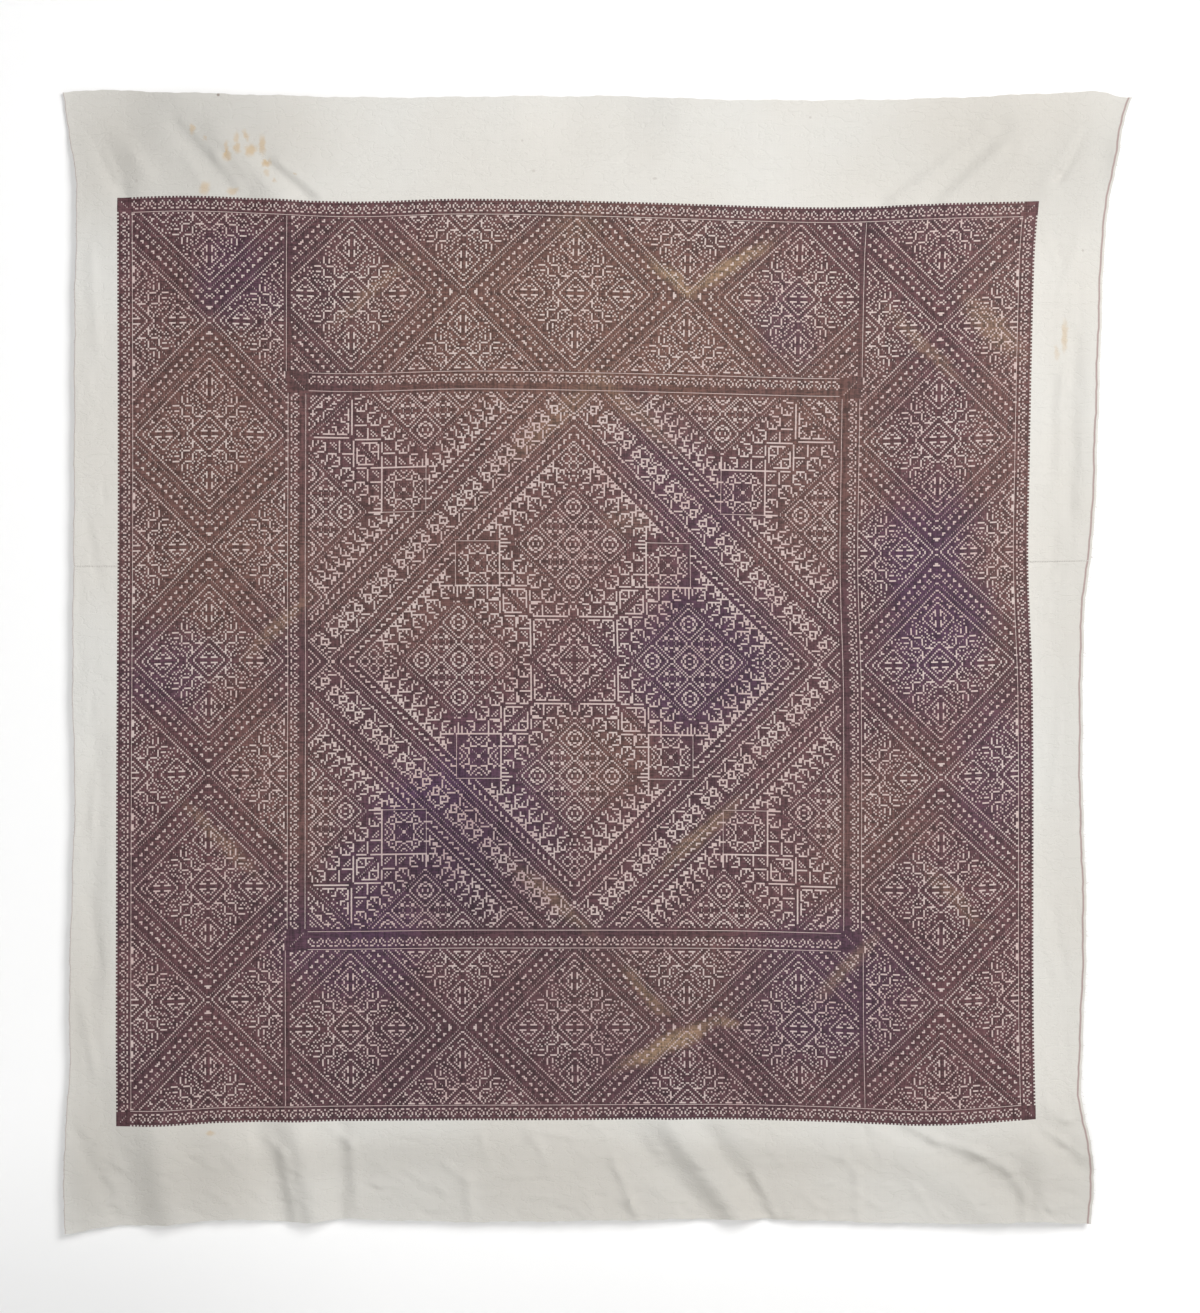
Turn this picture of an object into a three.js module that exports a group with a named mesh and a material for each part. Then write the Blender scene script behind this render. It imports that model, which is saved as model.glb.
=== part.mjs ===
// Embroidered silk panel: two lengths of plain cotton sewn edge to edge across the middle,
// hung by three points of its top edge, with a square field of silk embroidery.
//
// Millimetres, +Z up. X runs along the cloth to the right, seen from the front, and the
// front faces -Y. The origin is the middle hanging point, on the back of the top edge.

import * as THREE from 'three';
import { mergeVertices } from 'three/addons/utils/BufferGeometryUtils.js';

// Thicknesses and narrow widths
const clothThick = 1.5;
const stitchRaise = 0.4; // the silk stands this far out of the cloth, on both faces
const stitchEdge = 2.5; // width over which the embroidered field rises
const selvedgeWidth = 7;
const selvedgeRaise = 0.25;
const selvedgeEdge = 2;
const seamGap = 0.32;

// How the cloth hangs
const standOff = 9; // from the wall to the back of the cloth, away from the hanging points
const scallopLean = 7; // the top edge leans out by this much more between two hanging points
const scallopFade = 170; // depth over which that lean dies away
const pinHalfWidth = 28; // the cloth lies flat to the wall this far to each side of a point
const pinHeight = 24;
const pinFade = 90;
const closest = 0.6; // the back of a trough stays this far from the wall

// Columns and rows of faces in each part of the cloth
const columnCounts = { margin: 4, field: 56 };
const rowCounts = { topMargin: 7, aboveSeam: 9, belowSeam: 14, bottomMargin: 7 };

// Hanging points along the top edge
const hangingPoints = [{ x: -660 }, { x: 0 }, { x: 655 }];

// Edges of the whole cloth, each drawn as a smooth line through its rows
const topEdge = [
  { x: -708, z: 3 },
  { x: -676, z: 6 },
  { x: -644, z: 6 },
  { x: -565, z: 4 },
  { x: -360, z: -3 },
  { x: -261, z: -4 },
  { x: -32, z: 0 },
  { x: 32, z: 0 },
  { x: 154, z: -6 },
  { x: 356, z: -7 },
  { x: 508, z: -2 },
  { x: 639, z: 6 },
  { x: 671, z: 5 },
  { x: 690, z: -1 },
  { x: 706, z: -1 },
];
const bottomEdge = [
  { x: -705, z: -1504 },
  { x: -643, z: -1494 },
  { x: -565, z: -1491 },
  { x: -486, z: -1484 },
  { x: -396, z: -1488 },
  { x: -335, z: -1484 },
  { x: -183, z: -1487 },
  { x: 3, z: -1485 },
  { x: 205, z: -1484 },
  { x: 407, z: -1489 },
  { x: 531, z: -1489 },
  { x: 583, z: -1486 },
  { x: 622, z: -1490 },
  { x: 650, z: -1490 },
];
const leftEdge = [
  { z: 3, x: -708 },
  { z: -57, x: -698 },
  { z: -121, x: -689 },
  { z: -264, x: -691 },
  { z: -537, x: -692 },
  { z: -796, x: -694 },
  { z: -917, x: -691 },
  { z: -1026, x: -694 },
  { z: -1167, x: -698 },
  { z: -1286, x: -698 },
  { z: -1397, x: -705 },
  { z: -1504, x: -705 },
];
const rightEdge = [
  { z: -1, x: 706 },
  { z: -30, x: 697 },
  { z: -73, x: 688 },
  { z: -136, x: 676 },
  { z: -193, x: 669 },
  { z: -445, x: 660 },
  { z: -570, x: 655 },
  { z: -653, x: 645 },
  { z: -715, x: 641 },
  { z: -917, x: 640 },
  { z: -1045, x: 644 },
  { z: -1147, x: 644 },
  { z: -1275, x: 639 },
  { z: -1327, x: 639 },
  { z: -1416, x: 655 },
  { z: -1490, x: 650 },
];

// The seam and the sides of the embroidered field
const seamLine = [
  { x: -708, z: -622 },
  { x: 0, z: -620 },
  { x: 576, z: -616 },
  { x: 706, z: -613 },
];
const fieldTop = [
  { x: -635, z: -135 },
  { x: -537, z: -133 },
  { x: -335, z: -141 },
  { x: -183, z: -137 },
  { x: 3, z: -140 },
  { x: 306, z: -148 },
  { x: 457, z: -143 },
  { x: 582, z: -140 },
];
const fieldBottom = [
  { x: -637, z: -1362 },
  { x: -572, z: -1361 },
  { x: -486, z: -1356 },
  { x: 154, z: -1352 },
  { x: 306, z: -1356 },
  { x: 432, z: -1361 },
  { x: 578, z: -1352 },
];
const fieldLeft = [
  { z: -135, x: -635 },
  { z: -535, x: -634 },
  { z: -908, x: -636 },
  { z: -1362, x: -637 },
];
const fieldRight = [
  { z: -140, x: 582 },
  { z: -217, x: 576 },
  { z: -524, x: 569 },
  { z: -627, x: 568 },
  { z: -796, x: 574 },
  { z: -1214, x: 575 },
  { z: -1352, x: 578 },
];

// Soft folds, each along a straight line. Forward is how far a ridge stands out towards the
// viewer, and below zero for a trough. halfWidth is where its height has fallen to a third.
const folds = [
  // Drawn down from the left hanging point
  { fromX: -675, fromZ: -24, toX: -628, toZ: -128, halfWidth: 12, forward: -5.8 },
  { fromX: -656, fromZ: -20, toX: -600, toZ: -100, halfWidth: 13, forward: 4.2 },
  { fromX: -552, fromZ: -44, toX: -470, toZ: -128, halfWidth: 17, forward: -4.8 },
  { fromX: -500, fromZ: -56, toX: -422, toZ: -132, halfWidth: 18, forward: 4.2 },
  { fromX: -440, fromZ: -92, toX: -383, toZ: -136, halfWidth: 14, forward: -3.8 },
  // Drawn down from the right hanging point
  { fromX: 655, fromZ: -28, toX: 612, toZ: -104, halfWidth: 9, forward: -3.8 },
  { fromX: 640, fromZ: -40, toX: 594, toZ: -120, halfWidth: 14, forward: 3.5 },
  { fromX: 704, fromZ: -12, toX: 690, toZ: -70, halfWidth: 15, forward: 8 },
  { fromX: 529, fromZ: -46, toX: 448, toZ: -134, halfWidth: 16, forward: -4.2 },
  { fromX: 494, fromZ: -52, toX: 380, toZ: -136, halfWidth: 20, forward: -4.8 },
  // Down the two side margins
  { fromX: 627, fromZ: -330, toX: 622, toZ: -550, halfWidth: 11, forward: -4.2 },
  { fromX: 602, fromZ: -390, toX: 598, toZ: -490, halfWidth: 10, forward: -3.2 },
  { fromX: -664, fromZ: -860, toX: -668, toZ: -1180, halfWidth: 15, forward: -3.5 },
  // Broad waves of the embroidered field
  { fromX: -420, fromZ: -190, toX: -450, toZ: -1290, halfWidth: 95, forward: 5.4 },
  { fromX: -110, fromZ: -420, toX: -60, toZ: -1400, halfWidth: 120, forward: 4.7 },
  { fromX: 265, fromZ: -180, toX: 330, toZ: -1330, halfWidth: 90, forward: -5 },
  { fromX: 480, fromZ: -260, toX: 500, toZ: -1260, halfWidth: 70, forward: 4.3 },
  // Across the bottom margin, from left to right
  { fromX: -655, fromZ: -1320, toX: -612, toZ: -1500, halfWidth: 32, forward: -7.2 },
  { fromX: -582, fromZ: -1390, toX: -562, toZ: -1500, halfWidth: 25, forward: 6.8 },
  { fromX: -446, fromZ: -1372, toX: -412, toZ: -1495, halfWidth: 23, forward: -7.6 },
  { fromX: -396, fromZ: -1372, toX: -372, toZ: -1495, halfWidth: 20, forward: 8.5 },
  { fromX: -341, fromZ: -1368, toX: -338, toZ: -1495, halfWidth: 14, forward: -5.3 },
  { fromX: 60, fromZ: -1384, toX: 140, toZ: -1470, halfWidth: 23, forward: -7.6 },
  { fromX: 104, fromZ: -1372, toX: 194, toZ: -1495, halfWidth: 18, forward: 9.5 },
  { fromX: 152, fromZ: -1380, toX: 236, toZ: -1495, halfWidth: 16, forward: -7.6 },
  { fromX: 405, fromZ: -1370, toX: 545, toZ: -1445, halfWidth: 25, forward: -7.6 },
  { fromX: 430, fromZ: -1410, toX: 540, toZ: -1495, halfWidth: 24, forward: 6.5 },
  { fromX: 588, fromZ: -1368, toX: 638, toZ: -1414, halfWidth: 14, forward: -6.1 },
  { fromX: 588, fromZ: -1410, toX: 588, toZ: -1495, halfWidth: 24, forward: 7.6 },
];

// Rises from 0 to 1 with no kink at either end
const smooth = (t) => {
  const s = THREE.MathUtils.clamp(t, 0, 1);
  return s * s * (3 - 2 * s);
};

// The value in column `give` at `place` of column `along`, smooth through the table's rows
function readLine(table, along, give, place) {
  const falling = table[0][along] > table[table.length - 1][along];
  const rows = falling ? [...table].reverse() : table;
  const last = rows.length - 1;
  const slope = (a, b) => (rows[b][give] - rows[a][give]) / (rows[b][along] - rows[a][along]);
  let k = 0;
  while (k < last - 1 && place > rows[k + 1][along]) k += 1;
  const span = rows[k + 1][along] - rows[k][along];
  const t = (place - rows[k][along]) / span;
  if (t < 0) return rows[k][give] + slope(k, k + 1) * (place - rows[k][along]);
  if (t > 1) return rows[k + 1][give] + slope(k, k + 1) * (place - rows[k + 1][along]);
  const startSlope = slope(Math.max(k - 1, 0), k + 1) * span;
  const endSlope = slope(k, Math.min(k + 2, last)) * span;
  const rise = rows[k + 1][give] - rows[k][give];
  const bend = 3 * rise - 2 * startSlope - endSlope;
  const twist = startSlope + endSlope - 2 * rise;
  return rows[k][give] + t * (startSlope + t * (bend + t * twist));
}

// A place on the cloth is told by two numbers, each of which counts the lines below. Across,
// 0 to 1 is the left selvedge, 1 to 2 the left margin, 2 to 3 the embroidered field, 3 to 4
// the right margin and 4 to 5 the right selvedge. Down, 0 to 1 is the top margin, 1 to 2 the
// field above the seam, 2 to 3 the field below it and 3 to 4 the bottom margin.
const aside = (edge, distance) => edge.map(({ z, x }) => ({ z, x: x + distance }));
const uprights = [
  leftEdge,
  aside(leftEdge, selvedgeWidth),
  fieldLeft,
  fieldRight,
  aside(rightEdge, -selvedgeWidth),
  rightEdge,
];
const levels = [topEdge, fieldTop, seamLine, fieldBottom, bottomEdge];

function between(lines, along, give, number, place) {
  const k = Math.min(Math.floor(number), lines.length - 2);
  const start = readLine(lines[k], along, give, place);
  const end = readLine(lines[k + 1], along, give, place);
  return THREE.MathUtils.lerp(start, end, number - k);
}

// X and Z of a place on the cloth, where its upright meets its level
function meet(across, down) {
  const tries = 6;
  let x = 0;
  let z = between(levels, 'x', 'z', down, x);
  for (let n = 0; n < tries; n += 1) {
    x = between(uprights, 'z', 'x', across, z);
    z = between(levels, 'x', 'z', down, x);
  }
  return { x, z };
}

// How far one fold stands out at (x, z): a bell across its line, fading past both ends
function foldAt(fold, x, z) {
  const alongX = fold.toX - fold.fromX;
  const alongZ = fold.toZ - fold.fromZ;
  const length = Math.hypot(alongX, alongZ);
  const run = ((x - fold.fromX) * alongX + (z - fold.fromZ) * alongZ) / length;
  const off = ((x - fold.fromX) * alongZ - (z - fold.fromZ) * alongX) / length;
  const past = Math.max(-run, run - length, 0);
  const bell = Math.exp(-((off / fold.halfWidth) ** 2));
  return fold.forward * bell * Math.exp(-((past / (1.5 * fold.halfWidth)) ** 2));
}

// The lean of the top edge between two hanging points, dying away down the cloth
function scallopAt(x, z) {
  const [left, middle, right] = hangingPoints;
  const [from, to] = x < middle.x ? [left, middle] : [middle, right];
  const t = THREE.MathUtils.clamp((x - from.x) / (to.x - from.x), 0, 1);
  return scallopLean * Math.sin(Math.PI * t) ** 2 * Math.exp(Math.min(z, 0) / scallopFade);
}

// 0 where a hanging point holds the cloth flat to the wall, 1 away from all of them
function freeOfPoints(x, z) {
  return hangingPoints.reduce((free, point) => {
    const beside = Math.max(Math.abs(x - point.x) - pinHalfWidth, 0);
    const below = Math.max(-z - pinHeight, 0);
    return free * smooth(Math.hypot(beside, below) / pinFade);
  }, 1);
}

// From the wall to the back of the plain cloth
function forwardAt(x, z) {
  const waves = folds.reduce((sum, fold) => sum + foldAt(fold, x, z), 0);
  return freeOfPoints(x, z) * Math.max(standOff + scallopAt(x, z) + waves, closest);
}

// How many millimetres one count measures, taken at the left end of each line
const marginWide = fieldLeft[0].x - leftEdge[0].x - selvedgeWidth;
const fieldWide = fieldRight[0].x - fieldLeft[0].x;
const aboveDeep = fieldTop[0].z - seamLine[0].z;
const belowDeep = seamLine[0].z - fieldBottom[0].z;

// The narrow widths as parts of one count across or down
const selvedgeAcross = selvedgeEdge / marginWide;
const stitchAcross = stitchEdge / fieldWide;
const stitchAbove = stitchEdge / aboveDeep;
const stitchBelow = stitchEdge / belowDeep;
const gapAbove = seamGap / 2 / aboveDeep;
const gapBelow = seamGap / 2 / belowDeep;

// 0 outside [from, to], rising to 1 over `ramp` inside each end
function plateau(value, from, to, startRamp, endRamp) {
  const rise = Math.min((value - from) / startRamp, (to - value) / endRamp);
  return THREE.MathUtils.clamp(rise, 0, 1);
}

// How far the silk or a selvedge stands out of the plain cloth, on each face
function raiseAt(across, down) {
  const inField = Math.min(
    plateau(across, 2, 3, stitchAcross, stitchAcross),
    plateau(down, 1, 3, stitchAbove, stitchBelow),
  );
  const inMargins = plateau(across, 1, 4, selvedgeAcross, selvedgeAcross);
  return stitchRaise * inField + selvedgeRaise * (1 - inMargins);
}

// Evenly spaced numbers from `from` to `to`, both included
const spread = (from, to, count) =>
  Array.from({ length: count + 1 }, (_, k) => THREE.MathUtils.lerp(from, to, k / count));

function columnPlaces() {
  const { margin, field } = columnCounts;
  return [
    0,
    1,
    ...spread(1 + selvedgeAcross, 2, margin),
    ...spread(2 + stitchAcross, 3 - stitchAcross, field),
    ...spread(3, 4 - selvedgeAcross, margin),
    4,
    5,
  ];
}

const upperRows = [
  ...spread(0, 1, rowCounts.topMargin),
  ...spread(1 + stitchAbove, 2 - gapAbove, rowCounts.aboveSeam),
];
const lowerRows = [
  ...spread(2 + gapBelow, 3 - stitchBelow, rowCounts.belowSeam),
  ...spread(3, 4, rowCounts.bottomMargin),
];

// One length of cloth: a box of faces, each corner moved to where it hangs
function hungCloth(columns, rows) {
  const geometry = new THREE.BoxGeometry(1, 1, 1, columns.length - 1, 1, rows.length - 1);
  const corners = geometry.attributes.position;
  for (let k = 0; k < corners.count; k += 1) {
    const across = columns[Math.round((corners.getX(k) + 0.5) * (columns.length - 1))];
    const down = rows[Math.round((0.5 - corners.getZ(k)) * (rows.length - 1))];
    const { x, z } = meet(across, down);
    const back = -forwardAt(x, z);
    const raise = raiseAt(across, down);
    const onBack = corners.getY(k) > 0;
    corners.setXYZ(k, x, onBack ? back + raise : back - clothThick - raise, z);
  }
  geometry.deleteAttribute('normal');
  geometry.deleteAttribute('uv');
  const closed = mergeVertices(geometry);
  closed.computeVertexNormals();
  return closed;
}

const cotton = new THREE.MeshStandardMaterial({ color: 0xd8d5cd, roughness: 0.9, metalness: 0 });

const columns = columnPlaces();
const panel = new THREE.Group();
panel.name = 'embroidered_silk_panel';

const upperCloth = new THREE.Mesh(hungCloth(columns, upperRows), cotton);
upperCloth.name = 'upper_cloth';
panel.add(upperCloth);

const lowerCloth = new THREE.Mesh(hungCloth(columns, lowerRows), cotton.clone());
lowerCloth.name = 'lower_cloth';
panel.add(lowerCloth);

export default panel;
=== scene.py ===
import math

import bpy
import numpy as np
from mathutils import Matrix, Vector


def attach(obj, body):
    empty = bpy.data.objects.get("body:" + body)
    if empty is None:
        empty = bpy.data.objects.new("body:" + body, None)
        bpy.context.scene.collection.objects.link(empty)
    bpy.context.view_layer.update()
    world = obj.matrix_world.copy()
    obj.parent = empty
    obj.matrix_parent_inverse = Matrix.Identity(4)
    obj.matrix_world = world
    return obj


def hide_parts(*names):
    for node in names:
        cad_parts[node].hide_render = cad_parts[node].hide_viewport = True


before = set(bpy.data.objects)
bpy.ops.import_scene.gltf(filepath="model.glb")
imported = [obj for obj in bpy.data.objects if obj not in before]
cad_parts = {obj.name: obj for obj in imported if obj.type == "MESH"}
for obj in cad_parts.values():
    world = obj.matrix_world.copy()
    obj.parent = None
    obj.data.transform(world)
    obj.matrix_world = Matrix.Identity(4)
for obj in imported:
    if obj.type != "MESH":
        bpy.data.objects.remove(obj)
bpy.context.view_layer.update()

chance = np.random.default_rng(27)
mm = 0.001

# Lengths below are in millimetres, and scaled to metres when a mesh is made. X runs to the
# right along the cloth, Z up, and the embroidered front faces -Y.

viewpoint = {
    'lens': 100,             # on a 36 mm sensor
    'middleX': 2.6,
    'middleZ': -741,
    'pictureHigh': 1733,     # what the picture takes in, at the cloth
    'clothAt': -11,          # Y of the cloth's front
}

lamps = {
    'windowLight': {'at': (1900, -3000, 900), 'size': 2000, 'power': 112, 'tint': (1, 0.99, 0.98)},
    'fillLight': {'at': (-900, -3700, -1000), 'size': 2600, 'power': 36, 'tint': (0.97, 0.985, 1)},
    'backLight': {'at': (-1200, 3200, 600), 'size': 2600, 'power': 70, 'tint': (1, 1, 1)},
}
room = {
    'wallAt': 2.5,           # Y of the wall behind the cloth
    'wallWide': 7000,
    'wallHigh': 4200,
    'floorAt': -2050,
    'floorDeep': 7000,
    'sky': (1, 1, 1),
    'skyStrength': 0.33,
    'wall': ((0.88, 0.88, 0.88, 1), (0.96, 0.96, 0.96, 1)),
    # painted shade: the wall's colour where it is darker, at the bottom left and along the bottom
    'paintedWallShade': (0.78, 0.78, 0.78, 1),
    'floor': ((0.80, 0.80, 0.79, 1), (0.84, 0.84, 0.83, 1)),
    # painted shade on the wall at the bottom left and along the bottom: x, z, half width, half
    # height, turn in degrees, strength
    'wallShadeAreas': [(-760, -1650, 330, 190, 0, 0.6), (200, -1680, 900, 130, 0, 0.35)],
}


def aim(thing, target):
    towards = target - thing.location
    thing.rotation_mode = 'QUATERNION'
    thing.rotation_quaternion = towards.to_track_quat('-Z', 'Y')


def placeCamera():
    data = bpy.data.cameras.new('viewCamera')
    data.lens = viewpoint['lens']
    data.sensor_width = 36
    camera = bpy.data.objects.new('viewCamera', data)
    away = viewpoint['pictureHigh'] * viewpoint['lens'] / 36
    camera.location = (viewpoint['middleX'] * mm, (viewpoint['clothAt'] - away) * mm,
                       viewpoint['middleZ'] * mm)
    camera.rotation_euler = (math.radians(90), 0, 0)
    bpy.context.scene.collection.objects.link(camera)
    bpy.context.scene.camera = camera
    data.clip_end = 60


def placeLights():
    middle = Vector((0, 0, viewpoint['middleZ'] * mm))
    for name, lamp in lamps.items():
        data = bpy.data.lights.new(name, 'AREA')
        data.shape = 'SQUARE'
        data.size = lamp['size'] * mm
        data.energy = lamp['power']
        data.color = lamp['tint']
        light = bpy.data.objects.new(name, data)
        light.location = Vector(lamp['at']) * mm
        bpy.context.scene.collection.objects.link(light)
        aim(light, middle)
    world = bpy.data.worlds.new('softRoom')
    world.use_nodes = True
    backdrop = world.node_tree.nodes['Background']
    backdrop.inputs['Color'].default_value = (*room['sky'], 1)
    backdrop.inputs['Strength'].default_value = room['skyStrength']
    bpy.context.scene.world = world


placeCamera()
placeLights()
bpy.context.scene.view_settings.view_transform = 'Standard'
print('camera and lights placed')

# One cell is one step of the counted stitch. The chart is the same to the left and right and
# above and below the field's centre, so only its upper right quarter is drawn: across and up
# are cells from the centre, taken at the middle of each cell.
silk, openCloth, slit = 0, 1, 2
marks = {'.': silk, '#': openCloth, ',': slit}

pattern = {
    'halfField': 258,        # cells from the centre to the outer edge
    'border': 250,           # where the outer border starts
    'columnMiddle': 206,     # middle of a side column, and of the top and bottom bands
    'frame': 162,            # outer edge of the frame chain
    'innerField': 150,       # inner edge of the frame chain
    'lozengeEvery': 126,     # from one lozenge to the next in a column
    'lozengeHalf': 42,       # half a lozenge's diagonal, to its bright edge
    'columnHalf': 44,        # half a column's width
    'stripeLines': (42, 65),  # the stripe between lozenges, in cells from a lozenge's middle
    'stripeSlits': (46, 62),
    'stripeDots': 51,
    'stripeTeeth': 57,
    'beadEvery': 6,
    'square': 8,             # step of the small squares
    'bandEvery': 19.15,      # from one flower to the next in the slanting band
    'diamondEvery': 10.3,    # from one to the next of nine small diamonds
}

motifs = {                   # top row first, one mark for each count
    'flower': ('...####.',
               '.......#',
               '....#..#',
               '#....###',
               '#.#....#',
               '#..#..##',
               '#..#.#..',
               '.#####..'),
    'flowerHooks': ('.....##....',
                    '......#....',
                    '....##.....',
                    '...........',
                    '..#........',
                    '#.#........',
                    '##.........',
                    '...........',
                    '...........',
                    '...........',
                    '...........'),
    'dotted': ('........',
               '.......#',
               '.....#.#',
               '....#..#',
               '...#.#.#',
               '..#.#..#',
               '.......#',
               '#######.'),
    'stairs': ('...#.......',
               '...#.......',
               '...####....',
               '####.......',
               '...#.,,#...',
               '...#.,,#...',
               '.......####',
               '....###....',
               '......#....',
               '......#....'),
    'combs': ('.##########...',
              '##...#..#.....',
              '#.#..#..#.....',
              '#..#.#.#......',
              '#....#........',
              '#####.........',
              '#..#..........',
              '#.#...........',
              '#.............',
              '#.............',
              '#.............',
              '#.............',
              '..............',
              '..............'),
    'medallion': ('............',
                  '.#..#.......',
                  '#..#.#......',
                  '..#..##.....',
                  '.#..#.......',
                  '#...#...#...',
                  '.####...##.#',
                  '.....###..#.',
                  '.....#...#..',
                  '.....#..#...',
                  '.....#.#..#.',
                  '......#..#..'),
    # flowers round the middle of a column lozenge, from one diagonal to the upright
    'lozengeFlowers': ('.........#....',
                       '.......#.#....',
                       '.........#....',
                       '..............',
                       '..........###.',
                       '..............',
                       '........#...#.',
                       '......#...#...',
                       '.........#..#.',
                       '.......#..#...',
                       '.....#..#....#',
                       '....#..#..#..#',
                       '.....#..#.#..#',
                       '.#..#.....#..#',
                       '...#...#....#.',
                       '.#..#.#.####..',
                       '#..#...#......',
                       '..#..#.#......',
                       '##.....#......',
                       '..#..#.#......',
                       '#..#..#.......',
                       '..####........'),
    'sprig': ('#..',
              '.##',
              '.#.'),
    'frameChain': (',,,,,,,,,,',
                   '..........',
                   '#..##.##..',
                   '..#.....#.',
                   '.#..#.#..#',
                   '.#.#...#.#',
                   '..#.....#.',
                   '..........',
                   '..........',
                   '..........',
                   ',,,,,,,,,,',
                   '..........'),
    'borderChain': ('.#.#.#.#.#',
                    '..........',
                    '..#.....#.',
                    '.#.#...#.#',
                    '.#..#.#..#',
                    '..#.....#.',
                    '#..##.##..',
                    '..........'),
    'centreCorner': ('#######.######.',
                     '...#....#..#...',
                     '...#.,.#..#....',
                     '.......#...#...',
                     '.....###.......',
                     '...............',
                     '......#........'),
    'centreScroll': ('....#.....',
                     '...##.#...',
                     '....#..#..',
                     '.#...#.#..',
                     '###....#.#',
                     '.#.#...#..',
                     '.#......#.',
                     '..#.......',
                     '...####...',
                     '....#.....'),
    # the broad slanting band: a row for each step outwards, from its mirror line to the side
    'bandChain': ('........#.',
                  '.#.#.#.#.#',
                  '..........',
                  '.......#..',
                  '..#...#...',
                  '.#...#....',
                  '....#.....',
                  '...#......',
                  '..........',
                  '.#.#.#.#..',
                  '....#.#...',
                  '...#...#..',
                  '..#.#...#.',
                  '.#.....#..',
                  '..#...#...',
                  '...#.#....',
                  '....#.#.#.',
                  '.....#....',
                  '........#.',
                  '.#...#.#..',
                  '....#.....',
                  '.#.#...#..',
                  '....#.....'),
}


def cells(name, flipAcross=False, flipUp=False):
    part = np.array([[marks[mark] for mark in row] for row in motifs[name][::-1]], np.uint8)
    part = part[:, ::-1] if flipAcross else part
    return part[::-1] if flipUp else part


def middles(across, up):         # of the cells of a grid so many across and so many up
    return np.meshgrid(np.arange(across) + 0.5, np.arange(up) + 0.5)


def stamp(grid, part, across, up, over=True):   # over: also puts silk where the motif has it
    high, wide = part.shape
    lowA, lowU = max(across, 0), max(up, 0)
    endA, endU = min(across + wide, grid.shape[1]), min(up + high, grid.shape[0])
    if endA > lowA and endU > lowU:
        mine = part[lowU - up:endU - up, lowA - across:endA - across]
        there = grid[lowU:endU, lowA:endA]
        grid[lowU:endU, lowA:endA] = mine if over else np.where(mine == silk, there, mine)


def flower(grid, across, up, flipAcross=False, flipUp=False, hooks=True):
    stamp(grid, cells('flower', flipAcross, flipUp), across, up)
    if hooks:
        stamp(grid, cells('flowerHooks', flipAcross, flipUp), across - (0 if flipAcross else 3),
              up - (3 if flipUp else 0), False)


def dotted(grid, across, up, high=8):
    stamp(grid, cells('dotted')[:high], across, up)


def splitLozenge(grid, along, off, half):
    # small lozenge cut by a dark bar: along the bar and off it, from its middle
    reach = along + off
    grid[reach <= half + 1] = silk
    grid[reach == half] = openCloth
    inner = half - 3
    grid[(reach == inner) & (along >= 1) & (off > 1)] = openCloth
    grid[(off == 1.5) & (along >= 1.5) & (along <= inner - 1.5)] = openCloth
    grid[(off == 3.5) & (along < 1)] = openCloth


def lozengeQuarter(barAcross):
    # inside of the column lozenges, one quarter
    size = pattern['columnHalf']
    grid = np.zeros((size, size), np.uint8)
    across, up = middles(size, size)
    reach = across + up
    stamp(grid, cells('lozengeFlowers'), 2, 9)
    for step in (11, 12, 13, 17, 18, 19):
        grid[step, step] = slit
    stamp(grid, cells('sprig'), 5, 31)
    for step in range(3):
        grid[37 - step, step] = openCloth
    splitLozenge(grid, np.abs(up - 26), across, 9)
    grid = np.where(up >= across, grid, grid.T)
    grid[reach <= 12] = silk
    grid[reach == 13] = openCloth
    splitLozenge(grid, *((across, up) if barAcross else (up, across)), 9)
    grid[reach > 40] = silk
    return grid


def beadRow(grid, place, along, middle, outwards=1):
    # little hooks in a row: place is counted across the row
    turn = along % pattern['beadEvery']
    step = (place - middle) * outwards
    hook = ((step == 1) & (turn == 4)) | ((step == 0) & ((turn == 3) | (turn == 5)))
    grid[hook | ((step == -1) & (turn == 2))] = openCloth


def columnOfLozenges(off, along, barAcross):
    grid = np.zeros(off.shape, np.uint8)
    quarter = lozengeQuarter(barAcross)
    every, half = pattern['lozengeEvery'], pattern['lozengeHalf']
    off = np.abs(off)
    along = np.abs(along - every * np.round(along / every))
    reach = off + along
    whole = reach <= half
    grid[whole] = quarter[along[whole].astype(int), off[whole].astype(int)]
    sideOff = pattern['columnHalf'] - off
    sideAlong = np.abs(every / 2 - along)
    side = (sideOff > 0) & (sideOff + sideAlong <= half)
    grid[side] = quarter[sideAlong[side].astype(int), sideOff[side].astype(int)]
    slant = np.abs(along - off)
    turn = slant % pattern['beadEvery']
    dots, teeth = pattern['stripeDots'], pattern['stripeTeeth']
    grid[np.isin(reach, pattern['stripeSlits'])] = slit
    grid[np.isin(reach, pattern['stripeLines'])] = openCloth
    grid[(np.abs(reach - dots) == 1) & (np.abs(turn - 3) == 2)] = openCloth
    grid[(reach == teeth) & (turn < 3) | (reach == teeth - 1) & (turn == 1)] = openCloth
    return grid


def chainRow(grid, name, depth, along):   # depth 0 at the motif's top row
    unit = cells(name)[::-1]
    row, column = np.floor(depth).astype(int), along.astype(int) % unit.shape[1]
    within = (row >= 0) & (row < len(unit))
    grid[within] = unit[row[within], column[within]]


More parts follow.
